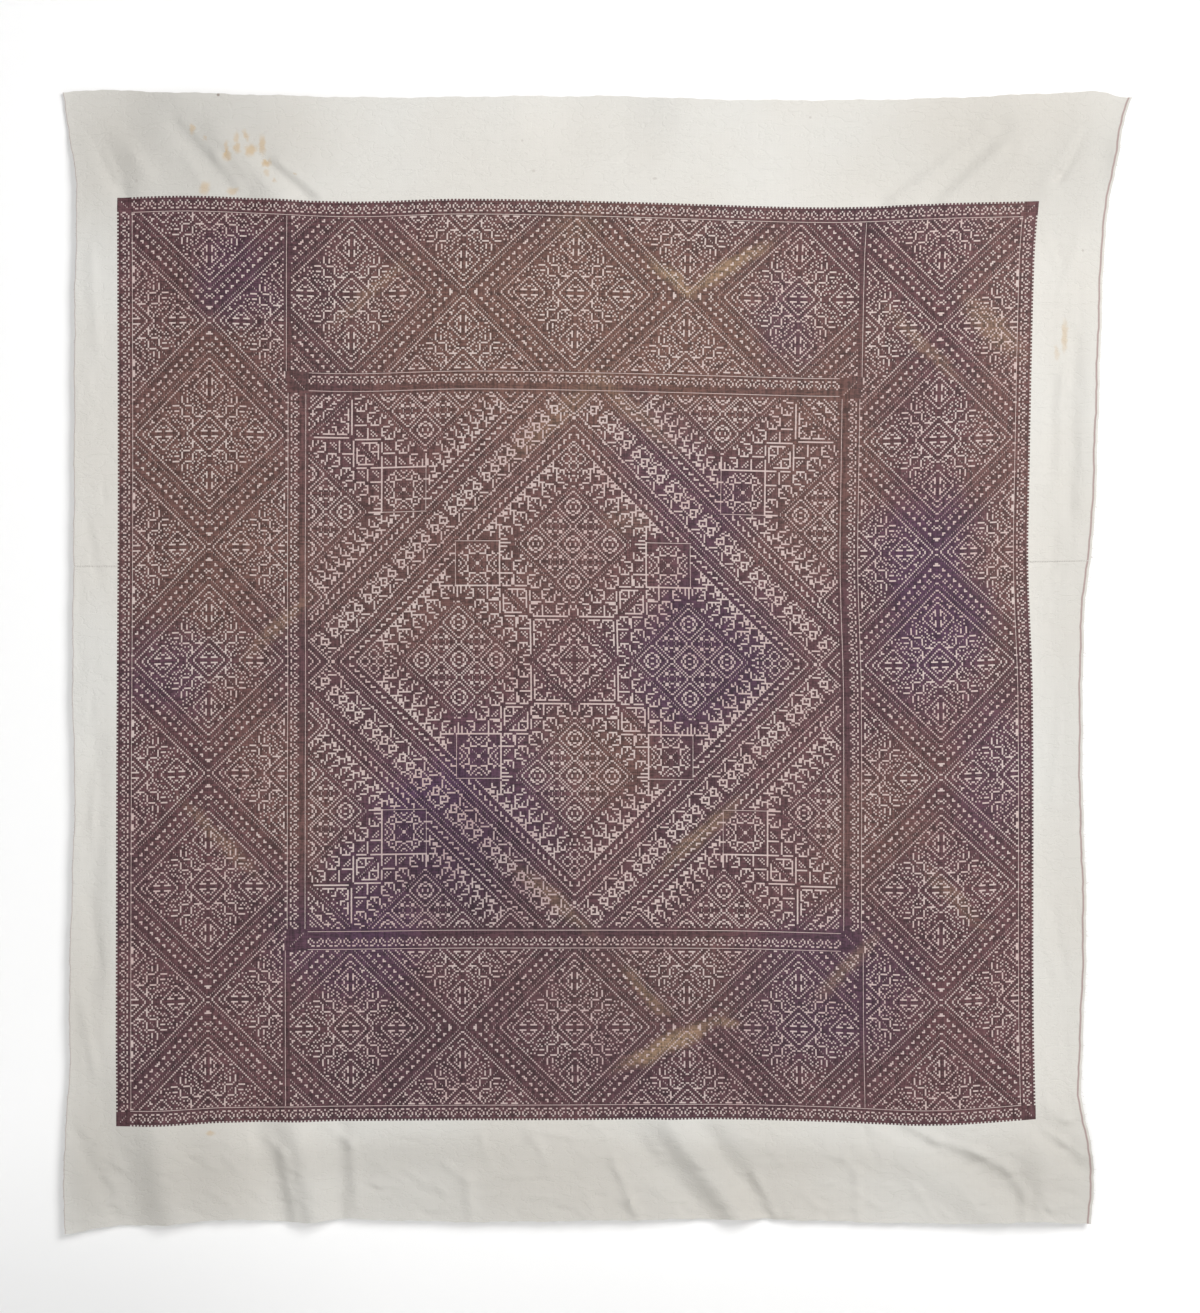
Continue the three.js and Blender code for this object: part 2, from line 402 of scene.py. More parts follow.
def nineDiamonds(grid, across, up, middleA, middleU):
    dA, dU = np.abs(across - middleA), np.abs(up - middleU)
    grid[dA + dU <= 34] = silk
    for m in range(-2, 3):
        for n in range(-2, 3):
            if (m + n) % 2 or abs(m) + abs(n) > 2:
                continue
            a = np.abs(across - middleA - round(pattern['diamondEvery'] * m))
            u = np.abs(up - middleU - round(pattern['diamondEvery'] * n))
            reach = a + u
            grid[reach <= 9] = silk
            grid[reach == 9] = openCloth
            if m % 2:
                grid[(reach == 6) & (a > 1) & (u > 1) | (a == u) & (a > 2) & (a < 4)] = openCloth
                grid[reach == 3] = slit
            else:
                grid[(reach == 5) | (reach == 6) & (a > 2) & (u > 2)] = openCloth
                grid[(a == 0.5) & (u == 2.5) | (a == 1.5) & (u == 0.5)] = openCloth
    grid[dA + dU == 33] = slit


def medallion(grid, across, up, middle, rings):
    part = cells('medallion')
    a, u = np.abs(across - middle), np.abs(up - middle)
    grid[(a < 13) & (u < 13)] = silk
    line = (np.maximum(a, u) == 12.5) & (np.minimum(a, u) < 13)
    grid[line] = openCloth
    towardsBand = (across + up - 2 * middle) * (-1 if rings else 1) > 0
    grid[line & towardsBand] = slit
    inside = (a < 12) & (u < 12)
    grid[inside] = part[u[inside].astype(int), a[inside].astype(int)]
    grid[inside & (a == u) & (a < 4)] = slit
    if rings:
        besideA, besideU = np.abs(a - 6.5), np.abs(u - 6.5)
        far = np.maximum(besideA, besideU)
        grid[inside & (far < 2.5)] = silk
        grid[inside & (far == 2) & (besideA + besideU < 4)] = openCloth
        grid[inside & (far == 0)] = openCloth


def boxWithDiagonal(grid, across, up, low, wide):
    # cut by a dark diagonal, with combs in its halves
    a, u = across - low, up - low
    inside = (a > 0) & (a < wide) & (u > 0) & (u < wide)
    grid[inside] = silk
    within = wide - 2
    stamp(grid, cells('combs')[-within:, :within], low + 1, low + 1, False)
    grid[inside & (np.abs(a - u) < 3)] = silk
    grid[inside & (a == u) & (a > 1.6) & (a < wide - 2)] = slit


def centreSquare(grid, across, up):     # the half above the diagonal
    far, near, reach = np.maximum(across, up), np.minimum(across, up), across + up
    grid[far < 24] = silk
    grid[(far == 24.5) & (near > 3) & (near < 23)] = openCloth
    grid[(reach == 25) & (near > 1)] = slit
    for i in range(7):                   # dots along the slanting edge
        grid[math.floor(22.6 - 1.57 * i), math.floor(5.5 + 1.58 * i)] = openCloth
    stamp(grid, cells('centreCorner'), 8, 16, False)
    point = near + np.abs(far - 17)
    grid[(point == 4) | (near == 0.5) & (np.abs(far - 17) < 1)] = openCloth
    stamp(grid, cells('centreScroll'), 1, 6, False)
    grid[(reach == 9) | (reach == 6) & (near > 1) | (reach == 4) & (near > 1)] = openCloth


def innerField():
    size = pattern['innerField']
    grid = np.zeros((size, size), np.uint8)
    across, up = middles(size, size)
    reach, along = across + up, np.abs(across - up)
    far, near = np.maximum(across, up), np.minimum(across, up)
    step = pattern['square']

    # Middle square, standing on its corner
    for k in range(1, 6):
        stamp(grid, cells('stairs'), step * k, 109 - step * k, False)
    for k in range(5):
        flower(grid, 2 + step * k, 99 - step * k, flipUp=True, hooks=k < 4)
        grid[(up > 105 - step * k) & (up < 107 - step * k) & (across == 9.5 + step * k)] = openCloth
    flower(grid, 17, 24, hooks=False)
    dotted(grid, 10, 24)
    flower(grid, 2, 24)
    dotted(grid, 17, 32)
    flower(grid, 10, 32)
    flower(grid, 34, 41, hooks=False)
    dotted(grid, 26, 41, high=7)
    flower(grid, 18, 40)
    dotted(grid, 34, 48)
    flower(grid, 26, 48)
    flower(grid, 34, 56, hooks=False)
    grid[(up == 65.5) & (across > 35) & (across < 41)] = openCloth
    grid[65, 33] = grid[63, 32] = grid[67, 32] = openCloth
    grid[(across == 41.5) & (up > 42) & (up < 66)] = openCloth
    boxWithDiagonal(grid, across, up, 25, 16)
    nineDiamonds(grid, across, up, 0, 65)
    smallReach = across + np.abs(up - 113)
    grid[smallReach < 12] = silk
    grid[(smallReach == 10) & (np.floor(across) % 4 != 1)] = openCloth
    for a, u in ((0, 109), (0, 118), (4, 113)):
        grid[np.abs(across - a) + np.abs(up - u) == 3] = openCloth
    centreSquare(grid, across, up)
    grid[reach > 123] = silk

    # Slanting band round it, the same on both sides of its middle line
    fromMiddle = np.abs(reach - size)
    grid[(fromMiddle == 27) | (fromMiddle == 18)] = openCloth
    grid[fromMiddle == 14] = slit
    beadRow(grid, reach, along, size - 22)
    beadRow(grid, reach, along, size + 22, -1)
    every = pattern['bandEvery']
    off = np.abs(along - 2 * np.round(every * np.round(along / every) / 2)).astype(int)
    unit = cells('bandChain')[::-1]
    band = (fromMiddle < 12) & (off < 10)
    grid[band] = unit[(reach[band] - size + 11).astype(int), off[band]]

    # Corners
    corner = np.zeros((size, size), np.uint8)
    for m in range(-1, 5):
        stamp(corner, cells('stairs', True, True), 66 - step * m, 106 + step * m, False)
    for k in range(5, -1, -1):
        for j in range(5, k, -1):
            dotted(corner, 85 + step * j, 108 + step * k)
        flower(corner, 85 + step * k, 108 + step * k, hooks=k > 0)
        flower(corner, 75 - step * k, 108 + step * k, flipAcross=True, hooks=k > 0)
    corner[109:116, 83] = corner[117, 83] = openCloth
    boxWithDiagonal(corner, across, up, 109, 15)
    corner[((far == 124.5) & (near > 110)) | ((far == 108.5) & (near > 85))] = openCloth
    corner[near > 124] = silk
    cornerBox(corner)
    nineDiamonds(corner, across, up, 84, 150)
    grid[reach > 179] = corner[reach > 179]
    medallion(grid, across, up, 54, False)
    medallion(grid, across, up, 96, True)
    far = np.abs(across - 36) + np.abs(up - size)
    grid[far < 12] = silk
    grid[(far == 11) | (far == 8) | (far == 3)] = openCloth

    # Half-lozenge at the middle of the side
    far = across + np.abs(up - size)
    grid[far < 15] = silk
    grid[(far == 12) | (far == 7) | (far == 3)] = openCloth
    grid[far == 14] = slit

    return np.where(up >= across, grid, grid.T)


def cornerBox(grid):                     # holds the same motif as the centre
    part = np.zeros((25, 25), np.uint8)
    across, up = middles(25, 25)
    centreSquare(part, across, up)
    part = np.where(up >= across, part, part.T)
    grid[-25:, -25:] = part[::-1, ::-1]


def chartQuarter():
    size, border = pattern['halfField'], pattern['border']
    outline, inner, middle = pattern['frame'], pattern['innerField'], pattern['columnMiddle']
    grid = np.zeros((size, size), np.uint8)
    across, up = middles(size, size)
    far, near = np.maximum(across, up), np.minimum(across, up)

    side = (across > outline) & (across < border) & (up < border)
    grid[side] = columnOfLozenges(across - middle, up, True)[side]
    top = (up > outline) & (up < border)
    band = top & (across < outline)
    grid[band] = columnOfLozenges(up - middle, across, False)[band]
    grid[top & (np.abs(across - outline) < 2)] = silk
    grid[top & (across == outline + 0.5)] = slit

    for name, start, end in (('frameChain', inner, outline), ('borderChain', border, size)):
        chain = (far > start) & (far < end)
        part = np.zeros_like(grid)
        chainRow(part, name, end - far, near)
        part[near > start] = silk
        part[(near == far) & (near > start + 2) & (near < end - 2)] = slit
        grid[chain] = part[chain]
    for one, other in ((across, up), (up, across)):
        grid[(one == border - 0.5) & (other < border - 1)] = slit

    grid[:inner, :inner] = innerField()
    return grid


def wholeChart():
    quarter = chartQuarter()
    right = np.vstack((quarter[::-1], quarter))
    return np.hstack((right[:, ::-1], right))


chart = wholeChart()[::-1]   # first row at the top
print('chart drawn:', chart.shape, 'silk share', round(float((chart == silk).mean()), 3))

clothShape = {
    'thick': 0.8,
    'middle': 0.75,          # from the back of the solid to the middle of the cloth
    'selvedge': 7,           # wide
    'selvedgeRaise': 0.2,    # on both faces
    'seamGap': 0.32,         # between the two lengths
    'standOff': 9,           # from the wall, where nothing holds the cloth
    'scallopLean': 7,        # further out, halfway between two hanging points
    'scallopFade': 170,      # down from the top edge
    'pinHalfWidth': 28,      # flat to the wall at each hanging point
    'pinHeight': 24,
    'pinFade': 90,           # from there to where the cloth is free
    'closest': 0.6,          # to the wall, in the deepest fold
    'creaseHeight': 1.35,    # times the heights in the list of creases
    'hangingPoints': (-660, 0, 655),
    'fieldHigh': 1215,       # about, to find the seam's row
}
countWide = chart.shape[1]
countDeep = chart.shape[0]
columnEvery = 2              # counts between the cloth's own lines in the field
rowEvery = 4

# Outline of the cloth, its seam and the field: x, z across, and z, x down the sides
topEdge = [(-708, 5), (-676, 8), (-644, 8), (-565, 4), (-360, -3), (-261, -4), (-32, 0), (32, 0),
           (154, -6), (356, -7), (508, -2), (639, 6), (671, 5), (690, -1), (706, -1)]
bottomEdge = [(-705, -1504), (-643, -1494), (-565, -1491), (-486, -1484), (-396, -1488),
              (-335, -1484), (-183, -1487), (3, -1485), (205, -1484), (407, -1489), (531, -1489),
              (583, -1486), (622, -1490), (650, -1490)]
leftEdge = [(3, -708), (-57, -698), (-121, -689), (-264, -691), (-537, -692), (-796, -694),
            (-917, -691), (-1026, -694), (-1167, -698), (-1286, -698), (-1397, -705), (-1504, -705)]
rightEdge = [(-1, 706), (-30, 697), (-73, 688), (-136, 676), (-193, 669), (-445, 660), (-570, 655),
             (-653, 645), (-715, 641), (-917, 640), (-1045, 644), (-1147, 644), (-1275, 639),
             (-1327, 639), (-1416, 655), (-1490, 650)]
seamLine = [(-708, -622), (0, -620), (576, -616), (706, -613)]
fieldTop = [(-635, -135), (-537, -133), (-335, -141), (-183, -137), (3, -140), (306, -148),
            (457, -143), (582, -140)]
fieldBottom = [(-637, -1362), (-572, -1361), (-486, -1356), (154, -1352), (306, -1356),
               (432, -1361), (578, -1352)]
fieldLeft = [(-135, -635), (-535, -634), (-908, -636), (-1362, -637)]
fieldRight = [(-140, 582), (-217, 576), (-524, 569), (-627, 568), (-796, 574), (-1214, 575),
              (-1352, 578)]

# Folds of the solid: from, to, half width, and how far forward each stands
folds = [
    (-675, -24, -628, -128, 12, -5.8), (-656, -20, -600, -100, 13, 4.2),
    (-552, -44, -470, -128, 17, -4.8), (-500, -56, -422, -132, 18, 4.2),
    (-440, -92, -383, -136, 14, -3.8), (655, -28, 612, -104, 9, -3.8),
    (640, -40, 594, -120, 14, 3.5), (704, -12, 690, -70, 15, 8),
    (529, -46, 448, -134, 16, -4.2), (494, -52, 380, -136, 20, -4.8),
    (627, -330, 622, -550, 11, -4.2), (602, -390, 598, -490, 10, -3.2),
    (-664, -860, -668, -1180, 15, -3.5), (-420, -190, -450, -1290, 95, 5.4),
    (-110, -420, -60, -1400, 120, 4.7), (265, -180, 330, -1330, 90, -5),
    (480, -260, 500, -1260, 70, 4.3), (-655, -1320, -612, -1500, 32, -7.2),
    (-582, -1390, -562, -1500, 25, 6.8), (-446, -1372, -412, -1495, 23, -7.6),
    (-396, -1372, -372, -1495, 20, 8.5), (-341, -1368, -338, -1495, 14, -5.3),
    (60, -1384, 140, -1470, 23, -7.6), (104, -1372, 194, -1495, 18, 9.5),
    (152, -1380, 236, -1495, 16, -7.6), (405, -1370, 545, -1445, 25, -7.6),
    (430, -1410, 540, -1495, 24, 6.5), (588, -1368, 638, -1414, 14, -6.1),
    (588, -1410, 588, -1495, 24, 7.6),
]

# Finer creases of the cloth itself, in the same form
creases = [
    # top left
    (-674, -25, -636, -108, 6, 2.2), (-658, -18, -610, -80, 8, 1.9),
    (-546, -36, -503, -83, 7, 1.9), (-503, -83, -472, -122, 7, 2.1),
    (-543, -84, -525, -112, 5, 1), (-472, -83, -445, -123, 5, -0.9),
    (-432, -92, -386, -132, 5, -1.5), (-420, -90, -370, -130, 7, 2.3),
    # top right
    (513, -47, 392, -138, 8, 2.3), (531, -73, 457, -138, 8, 2.1), (652, -30, 610, -106, 5, -3.8),
    (635, -45, 613, -95, 5, 2.9), (690, -20, 678, -110, 8, 1.6), (560, -70, 530, -130, 9, 0.8),
    # right side
    (634, -190, 612, -262, 6, 1.2), (622, -330, 606, -420, 6, 1.4), (604, -560, 596, -660, 6, -1),
    (612, -820, 600, -930, 7, 0.9), (600, -1080, 618, -1170, 6, -0.9),
    (595, -1337, 619, -1352, 6, 1.8), (619, -1352, 632, -1348, 6, 1.5),
    (588, -1364, 612, -1381, 6, 2), (612, -1381, 637, -1400, 6, 2),
    # left side
    (-668, -210, -662, -330, 7, 1), (-676, -560, -660, -640, 6, -0.9),
    (-664, -900, -668, -990, 6, 1.2), (-672, -1060, -660, -1150, 7, -1.2),
    (-680, -1200, -664, -1290, 7, 1.3),
    # bottom left
    (-690, -1370, -640, -1478, 9, -2), (-620, -1444, -603, -1436, 4, -0.9),
    (-631, -1430, -617, -1426, 4, -0.8), (-527, -1385, -509, -1377, 4, 0.9),
    (-509, -1377, -487, -1383, 4, 0.9), (-491, -1403, -475, -1419, 4, 0.9),
    (-462, -1370, -457, -1402, 5, 1.2), (-434, -1378, -414, -1398, 6, 1.8),
    (-416, -1398, -400, -1486, 7, 2.5), (-351, -1363, -326, -1385, 6, 2.2),
    (-326, -1385, -319, -1462, 7, 1.6), (-331, -1460, -328, -1484, 4, 1.1),
    (-300, -1436, -280, -1444, 4, 0.9), (-560, -1398, -520, -1404, 5, 0.7),
    (-580, -1462, -530, -1456, 5, 0.8), (-512, -1446, -486, -1462, 5, 0.9),
    # bottom middle
    (-200, -1412, -172, -1432, 5, 1.5), (-172, -1432, -167, -1480, 7, 1.9),
    (-236, -1444, -214, -1452, 4, -0.9), (-154, -1373, -143, -1410, 4, 1.3),
    (-90, -1368, -70, -1406, 7, 1.8), (-79, -1366, -33, -1375, 5, 1.5),
    (-129, -1426, -88, -1426, 4, 0.8), (-88, -1453, -66, -1454, 4, 1),
    (-5, -1361, 10, -1372, 4, 1.1), (10, -1376, -14, -1379, 4, 0.9),
    (-2, -1400, 18, -1402, 4, 0.9), (22, -1404, 44, -1462, 6, 2.4), (44, -1462, 56, -1488, 6, 2),
    (66, -1376, 84, -1402, 7, 1.2), (-20, -1440, -4, -1480, 7, 1),
    # bottom right
    (156, -1391, 178, -1427, 4, -1.3), (178, -1427, 196, -1437, 4, -1.2),
    (208, -1426, 235, -1480, 6, 2.6), (192, -1375, 206, -1379, 4, 0.8),
    (351, -1365, 368, -1411, 4, -1.2), (364, -1366, 390, -1380, 6, 1.3),
    (302, -1399, 325, -1402, 4, 1), (325, -1402, 340, -1424, 5, 1.4),
    (342, -1424, 344, -1482, 5, 1.7), (275, -1452, 292, -1470, 4, 0.9),
    (346, -1450, 374, -1470, 4, 1.1), (420, -1444, 443, -1480, 5, 1.3),
    (405, -1358, 447, -1380, 7, 2.8), (447, -1380, 500, -1396, 7, 3),
    (500, -1396, 540, -1418, 7, 2.4), (540, -1418, 562, -1450, 7, 2.2),
    (457, -1421, 488, -1424, 5, 1.3), (470, -1435, 527, -1455, 4, 1.3),
    (482, -1448, 497, -1464, 4, 0.9), (563, -1449, 563, -1490, 6, 2.2),
    (590, -1430, 622, -1424, 5, 0.8), (604, -1470, 630, -1462, 5, 0.9),
]

crumple = {                  # the many slight wrinkles between the creases
    'areas': [               # from, to, how many, height, from and to turn
        ((-690, -1370), (640, -1484), 210, 1.2, -0.5, 1),
        ((588, -160), (650, -1350), 80, 0.9, 1, 2),
        ((-688, -160), (-645, -1350), 60, 0.7, 0.6, 2),
        ((-600, -30), (620, -128), 70, 0.6, -0.6, 0.9),
    ],
    'long': 13,
    'halfWidth': 3.6,
}
for start, end, many, most, fromTurn, toTurn in crumple['areas']:
    start, end = np.array(start), np.array(end)
    spots = start + (end - start) * chance.uniform(0, 1, (many, 2))
    halves = chance.uniform(0.3, 1, many) * crumple['long']
    turns = chance.uniform(fromTurn, toTurn, many)
    heights = chance.uniform(0.35, 1, many) * most * chance.choice((-1, 1), many)
    for (x, z), half, turn, high in zip(spots, halves, turns, heights):
        besideX, besideZ = half * math.cos(turn), half * math.sin(turn)
        creases.append((x - besideX, z + besideZ, x + besideX, z - besideZ,
                        crumple['halfWidth'], high))


def smoothStep(value):
    value = np.clip(value, 0, 1)
    return value * value * (3 - 2 * value)


def readLine(rows, places):   # smooth through the rows, straight beyond both ends
    along, value = np.array(sorted(rows), float).T
    last = len(along) - 1
    k = np.clip(np.searchsorted(along, places) - 1, 0, last - 1)
    span = along[k + 1] - along[k]
    t = (places - along[k]) / span
    before, after = np.maximum(k - 1, 0), np.minimum(k + 2, last)
    startSlope = (value[k + 1] - value[before]) / (along[k + 1] - along[before]) * span
    endSlope = (value[after] - value[k]) / (along[after] - along[k]) * span
    rise = value[k + 1] - value[k]
    curve = value[k] + t * (startSlope + t * ((3 * rise - 2 * startSlope - endSlope)
                                              + t * (startSlope + endSlope - 2 * rise)))
    straight = value[k] + t * rise
    return np.where((t < 0) | (t > 1), straight, curve)


def ripple(places, sizes, start):   # small unevenness of a cut or woven edge
    return sum(high * np.sin(places / length + start * (n + 1))
               for n, (high, length) in enumerate(sizes))


edgeRipple = {
    'waves': ((0.5, 17), (0.35, 6.1), (0.25, 2.9)),      # height and length of each
    'left': 1.3,             # where each edge's waves start
    'right': 0.4,
    'top': 0.7,
    'bottom': 2.1,
}
edges = {'left': leftEdge, 'right': rightEdge, 'top': topEdge, 'bottom': bottomEdge}


def edgeAt(side, along):
    return readLine(edges[side], along) + ripple(along, edgeRipple['waves'], edgeRipple[side])


def ridges(rows, x, z):       # rounded folds along straight lines, fading past their ends
    total = np.zeros(np.broadcast(x, z).shape)
    for fromX, fromZ, toX, toZ, halfWidth, forward in rows:
        alongX, alongZ = toX - fromX, toZ - fromZ
        length = math.hypot(alongX, alongZ)
        reach = length / 2 + 4 * halfWidth
        near = np.hypot(x - (fromX + toX) / 2, z - (fromZ + toZ) / 2) < reach
        nearX, nearZ = x[near], z[near]
        run = ((nearX - fromX) * alongX + (nearZ - fromZ) * alongZ) / length
        off = ((nearX - fromX) * alongZ - (nearZ - fromZ) * alongX) / length
        past = np.maximum(np.maximum(-run, run - length), 0)
        total[near] += forward * np.exp(-(off / halfWidth) ** 2 - (past / (1.5 * halfWidth)) ** 2)
    return total


def forwardAt(x, z):          # from the wall to the back of the plain cloth
    shape = clothShape
    left, middle, right = shape['hangingPoints']
    start = np.where(x < middle, left, middle)
    end = np.where(x < middle, middle, right)
    t = np.clip((x - start) / (end - start), 0, 1)
    scallop = (shape['scallopLean'] * np.sin(np.pi * t) ** 2
               * np.exp(np.minimum(z, 0) / shape['scallopFade']))
    free = np.ones(np.broadcast(x, z).shape)
    for point in shape['hangingPoints']:
        beside = np.maximum(np.abs(x - point) - shape['pinHalfWidth'], 0)
        below = np.maximum(-z - shape['pinHeight'], 0)
        free = free * smoothStep(np.hypot(beside, below) / shape['pinFade'])
    lean = shape['standOff'] + scallop + ridges(folds, x, z)
    lean = lean + shape['creaseHeight'] * ridges(creases, x, z)
    return free * np.maximum(lean, shape['closest'])


def blendLines(low, high, share):
    return low + (high - low) * share


def clothPoints(sideShare, levelShare):
    # sideShare: 0 left edge, 1 left selvedge, 2 field's left, 3 field's right, 4, 5 right edge.
    # levelShare: 0 top edge, 1 top of the field, 2 bottom of the field, 3 bottom edge.
    selvedge = clothShape['selvedge']
    x = np.zeros(np.broadcast(sideShare, levelShare).shape)
    z = np.zeros_like(x)
    side = np.clip(np.floor(sideShare).astype(int), 0, 4) + np.zeros(x.shape, int)
    level = np.clip(np.floor(levelShare).astype(int), 0, 2) + np.zeros(x.shape, int)
    for _ in range(7):
        levels = [edgeAt('top', x), readLine(fieldTop, x), readLine(fieldBottom, x),
                  edgeAt('bottom', x)]
        levels = np.stack([line + np.zeros(x.shape) for line in levels])
        low = np.take_along_axis(levels, level[None], 0)[0]
        high = np.take_along_axis(levels, level[None] + 1, 0)[0]
        z = blendLines(low, high, levelShare - level)
        left, right = edgeAt('left', z), edgeAt('right', z)
        sides = np.stack([left, left + selvedge, readLine(fieldLeft, z), readLine(fieldRight, z),
                          right - selvedge, right])
        low = np.take_along_axis(sides, side[None], 0)[0]
        high = np.take_along_axis(sides, side[None] + 1, 0)[0]
        x = blendLines(low, high, sideShare - side)
    return x, z


def makePiece(name, points, quads, triangles, bakePlaces, finish):
    # points in mm, bakePlaces one per point in 0..1
    points = np.asarray(points, np.float32).reshape(-1, 3) * mm
    quads = np.asarray(quads, np.int32).reshape(-1, 4)
    triangles = np.asarray(triangles, np.int32).reshape(-1, 3)
    corners = np.concatenate((quads.ravel(), triangles.ravel()))
    sizes = np.concatenate((np.full(len(quads), 4, np.int32), np.full(len(triangles), 3, np.int32)))
    starts = np.concatenate(([0], np.cumsum(sizes)[:-1])).astype(np.int32)
    mesh = bpy.data.meshes.new(name)
    mesh.vertices.add(len(points))
    mesh.vertices.foreach_set('co', points.ravel())
    mesh.loops.add(len(corners))
    mesh.loops.foreach_set('vertex_index', corners)
    mesh.polygons.add(len(sizes))
    mesh.polygons.foreach_set('loop_start', starts)
    mesh.polygons.foreach_set('use_smooth', np.ones(len(sizes), bool))
    mesh.update(calc_edges=True)
    places = mesh.uv_layers.new(name='OFBake')
    places.data.foreach_set('uv', np.asarray(bakePlaces, np.float32)[corners].ravel())
    mesh.materials.append(finish)
    piece = bpy.data.objects.new(name, mesh)
    bpy.context.scene.collection.objects.link(piece)
    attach(piece, 'root')
    count = len(quads) * 2 + len(triangles)
    print(name, count, 'triangles')
    return piece


def gridQuads(rows, columns, first=0, turned=False):   # turned: they face the other way
    at = first + np.arange(rows * columns).reshape(rows, columns)
    quads = np.stack((at[:-1, :-1], at[1:, :-1], at[1:, 1:], at[:-1, 1:]), -1).reshape(-1, 4)
    return quads[:, [0, 3, 2, 1]] if turned else quads


def addFloat(piece, name, values):
    layer = piece.data.attributes.new(name, 'FLOAT', 'POINT')
    layer.data.foreach_set('value', np.asarray(values, np.float32).ravel())


sheetLines = {
    'selvedge': 3,           # faces across a selvedge
    'leftMargin': 16,
    'rightMargin': 22,
    'topMargin': 34,
    'bottomMargin': 44,
}


def sheetColumns():
    lines = sheetLines
    field = np.arange(0, countWide + 1, columnEvery) / countWide
    return np.concatenate((
        np.linspace(0, 1, lines['selvedge'] + 1)[:-1],
        np.linspace(1, 2, lines['leftMargin'] + 1)[:-1],
        2 + field,
        np.linspace(3, 4, lines['rightMargin'] + 1)[1:],
        np.linspace(4, 5, lines['selvedge'] + 1)[1:],
    ))


def seamRow(columns):
    # the level share at which each column meets the seam
    share = np.full(columns.shape, 1.4)
    for _ in range(12):
        x, z = clothPoints(columns, share)
        share = share + (z - readLine(seamLine, x)) / clothShape['fieldHigh']
    return share


def makeCloth(name, columns, rows, gapSide, finish):
    # rows is an array of level shares, one line for each row of the sheet
    x, z = clothPoints(columns[None, :], rows)
    gap = clothShape['seamGap'] / 2
    if gapSide == 'below':
        z[-1] += gap
    else:
        z[0] -= gap
    back = forwardAt(x, z)
    fromEdge = np.minimum(columns, 5 - columns)
    thick = clothShape['thick'] / 2 + clothShape['selvedgeRaise'] * (fromEdge < 0.99)[None, :]
    middle = -(back + clothShape['middle'])
    front = np.stack((x, middle - thick, z), -1)
    behind = np.stack((x, middle + thick, z), -1)
    high, wide = x.shape
    at = np.arange(high * wide).reshape(high, wide)
    rim = np.concatenate((at[0, :-1], at[:-1, -1], at[-1, :0:-1], at[:0:-1, 0]))
    following = np.roll(rim, -1)
    count = high * wide
    rimQuads = np.stack((rim, following, following + count, rim + count), -1)
    quads = np.concatenate((gridQuads(high, wide), gridQuads(high, wide, count, True), rimQuads))
    u = (x - x.min()) / (x.max() - x.min())
    v = (z - z.min()) / (z.max() - z.min())
    places = np.concatenate((np.stack((0.01 + 0.47 * u, 0.01 + 0.98 * v), -1).reshape(-1, 2),
                             np.stack((0.99 - 0.47 * u, 0.01 + 0.98 * v), -1).reshape(-1, 2)))
    piece = makePiece(name, np.concatenate((front.reshape(-1, 3), behind.reshape(-1, 3))), quads,
                      [], places, finish)
    fromLeft = x - edgeAt('left', z)
    fromRight = edgeAt('right', z) - x
    addFloat(piece, 'fromLeft', np.tile(fromLeft.ravel(), 2))
    addFloat(piece, 'fromRight', np.tile(fromRight.ravel(), 2))
    fromSeam = np.abs(z - readLine(seamLine, x))
    addFloat(piece, 'fromSeam', np.tile(fromSeam.ravel(), 2))
    level = rows if rows.shape == x.shape else rows + 0 * x
    within = ((columns > 2) & (columns < 3))[None, :] & (level > 1) & (level < 2)
    addFloat(piece, 'inField', np.tile(within.ravel().astype(np.float32), 2))
    piece.data.set_sharp_from_angle(angle=math.radians(50))
    return piece


def shader(name):            # a new material, its nodes and its links
    finish = bpy.data.materials.new(name)
    finish.use_nodes = True
    return finish, finish.node_tree.nodes, finish.node_tree.links


